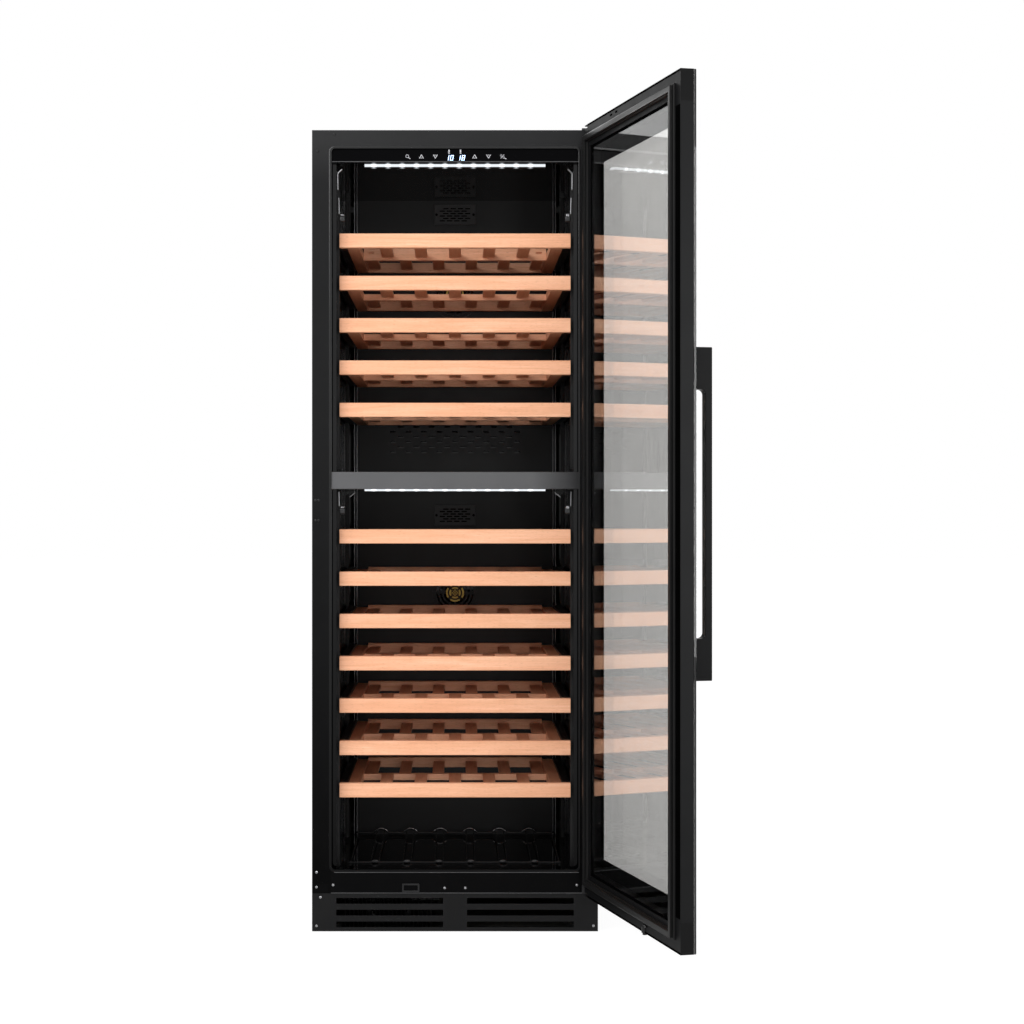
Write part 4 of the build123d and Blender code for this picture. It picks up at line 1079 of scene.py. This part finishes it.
def fit_signs():
    """Generic signs of the touch keys, and the two temperatures."""
    z = KEY_LINE
    bm = bmesh.new()
    ring_mark(bm, -0.0995, z + 0.0006, 0.0030, 0.0011)
    stroke(bm, (-0.0970, z - 0.0022), (-0.0935, z - 0.0045), 0.0014)
    for x, way in ((-0.070, 1), (-0.041, -1), (0.041, 1), (0.070, -1)):
        stroke(bm, (x - 0.0042, z - way * 0.0034), (x, z + way * 0.0036), 0.0012)
        stroke(bm, (x + 0.0042, z - way * 0.0034), (x, z + way * 0.0036), 0.0012)
        stroke(bm, (x - 0.0022, z - way * 0.0030), (x + 0.0022, z - way * 0.0030), 0.0010)
    ring_mark(bm, 0.0960, z + 0.0022, 0.0017, 0.0009)
    ring_mark(bm, 0.1015, z - 0.0022, 0.0017, 0.0009)
    stroke(bm, (0.0955, z - 0.0035), (0.1020, z + 0.0035), 0.0011)
    stroke(bm, (0.1035, z - 0.0035), (0.1065, z - 0.0048), 0.0014)
    for x in (-0.0125, 0.0115):
        stroke(bm, (x, 1.6236), (x, 1.6270), 0.0028)
        stroke(bm, (x - 0.0010, 1.6206), (x + 0.0010, 1.6206), 0.0014)
    piece("touch_key_signs", bm, "cabinet", [sign_print], None, False)
    bm = bmesh.new()
    numeral(bm, "10", -0.0112, 1.6113)
    numeral(bm, "18", 0.0128, 1.6113)
    piece("temperature_digits", bm, "cabinet", [digit_light], None, False)


def fit_diodes():
    """A bright diode window at every pitch along the upper lens."""
    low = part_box("led_bars")[0]
    bm = bmesh.new()
    for number in range(DIODES):
        part = turned([(0, 0), (0.0026, 0), (0.0023, 0.0003), (0.0012, 0.0005), (0, 0.0006)], 12)
        place = Matrix.Translation((FIRST_DIODE + number * LED_PITCH, low.y + 0.0003, UPPER_LIGHT))
        join(bm, part, place @ FACING_FRONT)
    piece("lamp_diode_windows", bm, "cabinet", [diode_light])


def finish_strip():
    finished("control_panel", [strip_gloss], 0.0006)
    finished("divider_trim", [divider_paint], 0.0008, 3)
    paint_nodes(lamp_lens, "led_bars")
    paint_nodes(circuit, "control_board")
    fit_signs()
    fit_diodes()


# ---------------------------------------------------------------- cabinet outside
def solids_of(node):
    """Lowest and highest corner of each solid of a CAD node."""
    bm = merged_copy(node)
    found = [reach(group) for group in islands(bm)]
    bm.free()
    return found


def fit_front_screws():
    """Recessed heads over the node's plain ones: bright on the sill and plinth, black above."""
    bm = bmesh.new()
    for low, high in solids_of("panel_screws"):
        middle = (low + high) / 2
        part = screw_head((high.x - low.x) / 2, high.y - low.y)
        seat = Matrix.Translation((middle.x, high.y, middle.z)) @ FACING_FRONT
        shiny = middle.z < SILL_HEAD + 0.007
        own_turn = Matrix.Rotation(middle.x * 40, 4, "Z")
        join(bm, part, seat @ own_turn, int(shiny))
    screws = piece("front_panel_screws", bm, "cabinet", [screw_black, screw_bright])
    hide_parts("panel_screws")


def fit_opening_lip():
    """A low rounded bead round the opening's edge, its corners following the opening's."""
    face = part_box("front_frame")[0].y
    side, floor, ceiling, corner = 0.2595, 0.1265, 1.6325, 0.0100
    turns = 8
    path = []
    for x, z, start in (
        (side - corner, ceiling - corner, 0),
        (corner - side, ceiling - corner, 90),
        (corner - side, floor + corner, 180),
        (side - corner, floor + corner, 270),
    ):
        for step in range(turns + 1):
            angle = radians(start + step * 90 / turns)
            path.append((x, z, cos(angle), sin(angle)))
    half, proud, sunk = 0.0026, 0.00025, 0.0004
    section = [(-half, sunk)]
    section += [(-half * cos(pi * k / 8), -proud * sin(pi * k / 8)) for k in range(9)]
    section += [(half, sunk)]
    rings = [
        [(x + across * (corner + away), face + y, z + up * (corner + away)) for away, y in section]
        for x, z, across, up in path
    ]
    piece("opening_lip_bead", bridged(rings), "cabinet", [lip_gloss])


SILL_FOOT, SILL_HEAD = 0.0815, 0.1228
HIGHLIGHT_STRIP_HIGH = 0.0015


def fit_sill():
    """The plain cover below the door opening and the spare hinge's plate, and thin bright strips
    painted as highlights along the sill's top and foot and the control strip's lower edge.
    """
    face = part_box("front_frame")[0].y
    sunk = face + 0.0004
    bm = bmesh.new()
    slab(bm, (-0.258, face - 0.0002, SILL_FOOT), (0.258, sunk, SILL_HEAD), 0.0002)
    slab(bm, (-0.2942, face - 0.0003, SILL_FOOT), (-0.2640, sunk, 0.0995), 0.0002)
    piece("sill_cover", bm, "cabinet", [sill_coat])
    bm = bmesh.new()
    # the upper highlight strip stops short of the closed door's seal
    highlight_strips = (-0.2580, 0.2680, SILL_FOOT - HIGHLIGHT_STRIP_HIGH), (-0.2512, 0.2580, SILL_HEAD)
    for left, right, foot in highlight_strips:
        slab(bm, (left, face - 0.0002, foot), (right, face + 0.0003, foot + HIGHLIGHT_STRIP_HIGH), 0.0002)
    # a painted highlight along the control strip's lower edge
    slab(bm, (-0.2570, STRIP_FACE - 0.0004, 1.6024), (0.2570, STRIP_FACE + 0.0002, 1.6042), 0.0003)
    piece("painted_edge_highlight_strips", bm, "cabinet", [edge_painted_highlight])


def fit_top_fixings():
    """Screws of the top panel and the plugs in the spare hinge's holes."""
    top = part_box("top_panel")[1].z
    bm = bmesh.new()
    for x in (-0.285, -0.10, 0.10, 0.285):
        join(bm, screw_head(0.0035, 0.0016), Matrix.Translation((x, 0.300, top)))
    for y in (-0.2995, -0.2775):
        plug = turned([(0, 0), (0.0040, 0), (0.0040, 0.0004), (0.0028, 0.0010), (0, 0.0012)], 16)
        join(bm, plug, Matrix.Translation((-0.278, y, top)))
    piece("top_panel_fixings", bm, "cabinet", [screw_black])


def fit_back_panel_details():
    """Pressed ribs and the row of screws round the back sheet."""
    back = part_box("back_panel")[1].y
    reach_out, half, sunk, proud = 0.24, 0.006, 0.0004, 0.0014
    bm = bmesh.new()
    for z in (0.36, 0.62, 0.88, 1.14, 1.40):
        low, high = (-reach_out, back - sunk, z - half), (reach_out, back + proud, z + half)
        slab(bm, low, high, 0.0012, 3)
    piece("back_pressed_ribs", bm, "cabinet", [zinc])
    foot, pitch, top_row = 0.06, 0.2567, 1.652
    places = [(x, foot + row * pitch) for x in (-0.286, 0.286) for row in range(7)]
    places += [(x, top_row) for x in (-0.19, -0.06, 0.06, 0.19)]
    bm = bmesh.new()
    for x, z in places:
        join(bm, screw_head(0.0036, 0.0017), Matrix.Translation((x, back, z)) @ FACING_BACK)
    piece("back_panel_screws", bm, "cabinet", [screw_black])


def finish_casing():
    for node, coated, edge, *rounds in (
        ("side_panel_left", casing_coat, 0.0004),
        ("side_panel_right", casing_coat, 0.0004),
        ("top_panel", casing_coat, 0.0004),
        ("front_frame", front_coat, 0.0011, 3),
        ("kick_grille", plinth_coat, 0.0005),
        ("upper_hinge_bracket", bracket_coat, 0.0004),
        ("lower_hinge_bracket", bracket_coat, 0.0004),
        ("lock_keeper", keeper_plate, 0.0003),
        ("power_inlet", inlet_plastic, 0.0003),
    ):
        finished(node, [coated], edge, *rounds)
    feet = [f"foot_{end}_{side}" for end in ("front", "rear") for side in ("left", "right")]
    paint_nodes(foot_plastic, *feet)
    paint_nodes(zinc, "back_panel")
    paint_nodes(casing_coat, "base_pan")
    paint_nodes(compressor_paint, "compressor")
    paint_nodes(condenser_paint, "condenser")
    paint_nodes(tray_plastic, "condensate_tray")
    fit_front_screws()
    fit_opening_lip()
    fit_sill()
    fit_top_fixings()
    fit_back_panel_details()


# ---------------------------------------------------------------- zones
RING_HIGH = 0.0008
RINGS = ((0.98, 0.80), (0.62, 0.46))
LATTICE_PITCH = 0.0042
LATTICE_BAR = (0.015, 0.0010, RING_HIGH)


def fit_filter_rings():
    """Gold rings broken at the diagonals round each filter, with a small lattice in the middle."""
    low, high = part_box("charcoal_filters")
    radius = (high.x - low.x) / 2
    bm = bmesh.new()
    for middle in (high.z - radius, low.z + radius):
        for outer, inner in RINGS:
            for quarter in range(4):
                part = bmesh.new()
                corners = ((inner, 0), (outer, 0), (outer, RING_HIGH), (inner, RING_HIGH))
                face = part.faces.new([part.verts.new((x * radius, 0, z)) for x, z in corners])
                arc = {"cent": (0, 0, 0), "axis": (0, 0, 1), "angle": radians(70), "steps": 12}
                bmesh.ops.spin(part, geom=[face], **arc)
                bmesh.ops.recalc_face_normals(part, faces=part.faces)
                turn = Matrix.Rotation(radians(quarter * 90 - 35), 4, "Z")
                join(bm, part, Matrix.Translation((0, low.y, middle)) @ FACING_FRONT @ turn)
        for tilt in (45, 135):
            for shift in (-LATTICE_PITCH, 0, LATTICE_PITCH):
                spot = Matrix.Translation((0, low.y - 0.0003, middle)) @ FACING_FRONT
                turn = Matrix.Rotation(radians(tilt), 4, "Z") @ Matrix.Translation((0, shift, 0))
                join(bm, block(LATTICE_BAR), spot @ turn)
    piece("filter_gold_rings", bm, "cabinet", [filter_gold])


def bent_strip(bm, points, thick, deep, front):
    """A flat strip on edge that follows points in x and z, mitred by overlapping its runs."""
    y = front + deep / 2
    for (x, z), (next_x, next_z) in zip(points, points[1:]):
        bar(bm, (x, y, z), (next_x, y, next_z), 0.7 * thick, deep, thick, 0.35 * thick, 2)


RAIL_FRONT = -0.288


def fit_rail_ends():
    """Hooks in bright steel, their brightness a painted highlight on their moulded edges, and dark
    catches at the head of each zone's side rails, left and right.
    """
    bright, dark = bmesh.new(), bmesh.new()
    # piece, points in x and z on the right side, thickness, depth, set back
    strips = [
        (bright, ((0.2368, 1.5908), (0.2456, 1.5822), (0.2452, 1.5492)), 0.0030, 0.008, 0.0),
        (dark, ((0.2480, 1.5860), (0.2480, 1.5600)), 0.0024, 0.010, 0.004),
        (bright, ((0.2100, 0.9142), (0.2215, 0.9050)), 0.0022, 0.006, 0.020),
    ]
    rails = ((1.5306, 1.4950), (0.9152, 0.8832))
    for top, foot in rails:
        strips.append((bright, ((0.2432, top), (0.2424, foot + 0.003)), 0.0025, 0.006, 0.0))
        strips.append((bright, ((0.2388, foot), (0.2332, foot)), 0.0032, 0.006, -0.001))
    for side in (-1, 1):
        for bm, points, thick, deep, back in strips:
            bent_strip(bm, [(side * x, z) for x, z in points], thick, deep, RAIL_FRONT + back)
        low, high = sorted((side * 0.2300, side * 0.2425))
        for _, foot in rails:
            start, end = (low, RAIL_FRONT, foot - 0.0135), (high, RAIL_FRONT + 0.012, foot - 0.0015)
            slab(dark, start, end, 0.003, 3)
    piece("rail_hooks", bright, "cabinet", [hook_painted_highlight_steel])
    piece("rail_catches", dark, "cabinet", [catch_plastic])


HIGHLIGHT_LINE_PLACES = (0.2300, 0.2362)
HIGHLIGHT_LINE_HALF = 0.0009


def fit_duct_edge_highlights():
    """Thin upright bright strips in the channels beside each zone's back panel, a painted highlight
    on the panel's edges.
    """
    bm = bmesh.new()
    for panel in ("upper_duct_panel", "lower_duct_panel"):
        low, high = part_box(panel)
        for x in HIGHLIGHT_LINE_PLACES:
            for side in (-1, 1):
                slab(
                    bm,
                    (side * x - HIGHLIGHT_LINE_HALF, low.y - 0.0016, low.z + 0.0005),
                    (side * x + HIGHLIGHT_LINE_HALF, high.y - 0.0002, high.z - 0.0005),
                    0.0006,
                )
    piece("duct_edge_painted_highlights", bm, "cabinet", [duct_edge_highlight_steel])


VENT_ROWS = 6
VENT_PITCH = 0.0057
VENT_SLOT_HIGH = 0.0030
VENT_SLOT_WIDE = 0.0125
VENT_STEP = 0.0172
VENT_LIP = 0.0016
VENT_FIELD_HALF = 2 * VENT_STEP + 0.0015
VENT_SCREW_OUT = 0.0435
VENT_SCREW = [(0, 0), (0.0030, 0), (0.0026, 0.0005), (0.0014, 0.0003), (0, 0.0002)]


def fit_vent_covers():
    """Louvred covers over the air ducts: rows of slots laid like bricks, a lip and two screws, with
    a black plate behind the slots as painted shade.
    """
    bm, shade_plate_and_screws = bmesh.new(), bmesh.new()
    for low, high in solids_of("vent_covers"):
        middle = (low + high) / 2
        left, right = middle.x - VENT_FIELD_HALF, middle.x + VENT_FIELD_HALF
        rows = [middle.z + (row - (VENT_ROWS - 1) / 2) * VENT_PITCH for row in range(VENT_ROWS)]
        half = VENT_SLOT_HIGH / 2
        face, back = low.y + 0.0006, high.y
        rear = back - 0.0007
        levels = [low.z] + [z + sign * half for z in rows for sign in (-1, 1)] + [high.z]
        for under, over in zip(levels[::2], levels[1::2]):
            slab(bm, (left, face, under), (right, rear, over), 0.0002, 1)
        for index, z in enumerate(rows):
            shift = VENT_STEP / 2 if index % 2 else 0.0
            slots = [middle.x + (k - 1.75) * VENT_STEP + shift for k in range(4)]
            ends = [x + side * VENT_SLOT_WIDE / 2 for x in slots for side in (-1, 1)]
            ends = [left, *ends, right]
            for start, end in zip(ends[::2], ends[1::2]):
                if end > start:
                    slab(bm, (start, face, z - half), (end, rear, z + half), 0)
        for start, end in ((low.x, left), (right, high.x)):
            slab(bm, (start, face, low.z), (end, rear, high.z), 0)
        for start in (low.x, high.x - VENT_LIP):
            slab(bm, (start, low.y, low.z), (start + VENT_LIP, back, high.z), 0.0005)
        for foot in (low.z, high.z - VENT_LIP):
            slab(bm, (low.x, low.y, foot), (high.x, back, foot + VENT_LIP), 0.0005)
        # a black plate just behind the slot field is painted shade seen through the slots
        inset = Vector((0.002, 0, 0.002))
        plate_low, plate_high = low + inset, high - inset
        plate_low.y, plate_high.y = back - 0.0006, back - 0.0002
        slab(shade_plate_and_screws, plate_low, plate_high, 0)
        for side in (-1, 1):
            x = middle.x + side * VENT_SCREW_OUT
            place = Matrix.Translation((x, face + 0.0001, middle.z))
            join(shade_plate_and_screws, turned(VENT_SCREW, 16), place @ FACING_FRONT)
    covers = piece("vent_louvres", bm, "cabinet", [vent_plastic], None, False)
    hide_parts("vent_covers")
    piece("vent_shade_plate_and_screws", shade_plate_and_screws, "cabinet", [shade_and_matt_black])


ROD_SIDES = 10


def rod(bm, points, radius, material=0):
    """A round wire through points, its ends closed."""
    rings = []
    for index, point in enumerate(points):
        ahead = Vector(points[min(index + 1, len(points) - 1)])
        behind = Vector(points[max(index - 1, 0)])
        turn = Vector((0, 0, 1)).rotation_difference((ahead - behind).normalized())
        ring = []
        for side in range(ROD_SIDES):
            angle = 2 * pi * side / ROD_SIDES
            around = Vector((radius * cos(angle), radius * sin(angle), 0))
            ring.append(Vector(point) + turn @ around)
        rings.append(ring)
    join(bm, bridged(rings, False), Matrix(), material)


RACK_PITCH = 0.069
RACK_MARGIN = 0.0085
PAIR_HALF = 0.0085
CREST_HALF = 0.017
CREST_RISE = 0.009
CREST_STEPS = 12
THICK_WIRE = 0.0021
SLOPING_WIRE = 0.0015
FRONT_WIRE = 0.0012


def fit_wire_rack():
    """The floor rack: paired rods that slope down from the crests of a waved rear wire."""
    low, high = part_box("wire_rack")
    rear, front = high.y - RACK_MARGIN, low.y + RACK_MARGIN
    level = high.z - THICK_WIRE - CREST_RISE
    floor = low.z + THICK_WIRE
    bm = bmesh.new()
    lines = [(k - 2.5) * RACK_PITCH for k in range(6)]
    wave = [(low.x + 0.001, rear, level)]
    for x in lines:
        crest = []
        for step in range(CREST_STEPS + 1):
            share = step / CREST_STEPS
            rise = CREST_RISE * sin(pi * share) ** 0.8 if 0 < step < CREST_STEPS else 0.0
            crest.append((x + (2 * share - 1) * CREST_HALF, rear, level + rise))
        wave += crest
        # a thin bright rod just in front of and above each crest is a painted highlight
        crest_highlight = [(px, py - 0.0009, pz + 0.0007) for px, py, pz in crest[1:-1]]
        rod(bm, crest_highlight, 0.7 * THICK_WIRE, 1)
        for side in (-PAIR_HALF, PAIR_HALF):
            top = (x + side, rear - 0.002, level + 0.8 * CREST_RISE)
            rod(bm, [top, (x + 1.02 * side, front, floor + 0.001)], SLOPING_WIRE)
        foot = bmesh.new()
        bmesh.ops.create_icosphere(foot, subdivisions=2, radius=1.0)
        spot = Matrix.Translation((x, low.y + 0.004, floor + 0.0022))
        join(bm, foot, spot @ Matrix.Diagonal((0.0075, 0.0036, 0.0034, 1)), 2)
    wave.append((high.x - 0.001, rear, level))
    rod(bm, wave, THICK_WIRE)
    rod(bm, [(x, front, floor - 0.0006) for x in (low.x + 0.001, high.x - 0.001)], FRONT_WIRE)
    for side in (-1, 1):
        x = side * (high.x - 0.006)
        rod(bm, [(x, rear, level), (x, front - 0.006, floor + 0.001)], THICK_WIRE)
    coats = [rack_coat, rack_painted_highlight, vent_plastic]
    rack = piece("wire_rack_rods", bm, "cabinet", coats)
    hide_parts("wire_rack")


def finish_zones():
    paint_nodes(liner_plastic, "upper_liner", "lower_liner")
    paint_nodes(duct_plastic, "upper_duct_panel", "lower_duct_panel", "slide_pilasters")
    paint_nodes(duct_plastic, "fan_grilles")
    paint_nodes(fan_plastic, "upper_fan_rotor", "lower_fan_rotor", "condenser_fan_rotor")
    paint_nodes(fan_plastic, "fan_housings")
    paint_nodes(filter_dark, "charcoal_filters")
    paint_nodes(fin_metal, "evaporators")
    paint_nodes(foam, "insulation")
    paint_nodes(slide_steel, "shelf_slides")
    fit_vent_covers()
    fit_wire_rack()
    fit_filter_rings()
    fit_rail_ends()
    fit_duct_edge_highlights()


# ---------------------------------------------------------------- studio
def white_rays(tree):
    """1 for rays that should meet a white studio: those of the camera, gloss and clear glass."""
    path = make_node(tree, "LightPath").outputs
    first = maths(tree, "MAXIMUM", path["Is Camera Ray"], path["Is Glossy Ray"])
    return maths(tree, "MAXIMUM", first, path["Is Transmission Ray"])


def set_world():
    world = bpy.data.worlds.new("studio_air")
    bpy.context.scene.world = world
    tree = cleared_tree(world)
    strength = spread(tree, white_rays(tree), 0.52, 1.0)
    air = make_node(tree, "Background", {"Color": (1, 1, 1, 1), "Strength": strength})
    put_out(tree, air.outputs["Background"], "OutputWorld")


def lay_floor():
    bm = bmesh.new()
    bmesh.ops.create_grid(bm, x_segments=1, y_segments=1, size=30.0)
    bmesh.ops.translate(bm, verts=bm.verts, vec=(0, 0, -0.0006))
    mesh = mesh_of("studio_floor", bm)
    floor = put_in_scene("studio_floor", mesh)
    material = bpy.data.materials.new("pale_studio_floor")
    tree = cleared_tree(material)
    paint = make_node(tree, "BsdfDiffuse", {"Color": (0.96, 0.96, 0.96, 1)})
    glow = make_node(tree, "Emission", {"Color": (1, 1, 1, 1), "Strength": 1.16})
    share = maths(tree, "MULTIPLY", white_rays(tree), 0.78)
    mixed = make_node(tree, "MixShader", {0: share, 1: paint.outputs[0], 2: glow.outputs[0]})
    put_out(tree, mixed.outputs[0])
    mesh.materials.append(material)


def hang_lamp(name, place, aim, size, power):
    """A soft square lamp that faces a point."""
    data = bpy.data.lights.new(name, "AREA")
    data.shape = "SQUARE"
    data.size = size
    data.energy = power
    lamp = put_in_scene(name, data)
    lamp.location = place
    lamp.rotation_euler = (Vector(aim) - Vector(place)).to_track_quat("-Z", "Y").to_euler()


def set_camera():
    data = bpy.data.cameras.new("studio_camera")
    data.sensor_width = 36.0
    data.lens = 74.18
    data.shift_x = 57 / 1024
    data.shift_y = -7 / 1024
    data.clip_end = 100.0
    camera = put_in_scene("studio_camera", data)
    camera.location = (0, -4.705, 0.888)
    camera.rotation_euler = (radians(90), 0, 0)
    bpy.context.scene.camera = camera


finish_shelves()
finish_door()
finish_strip()
finish_casing()
finish_zones()
set_world()
lay_floor()
hang_lamp("key_lamp", (-1.6, -3.0, 2.6), (0.0, -0.3, 0.9), 1.6, 75.0)
hang_lamp("fill_lamp", (1.5, -3.5, 1.2), (0.0, -0.3, 0.8), 1.6, 30.0)
hang_lamp("back_lamp", (-0.8, 3.0, 2.4), (0.0, 0.3, 1.0), 1.4, 20.0)
set_camera()
bpy.context.scene.view_settings.view_transform = "Standard"
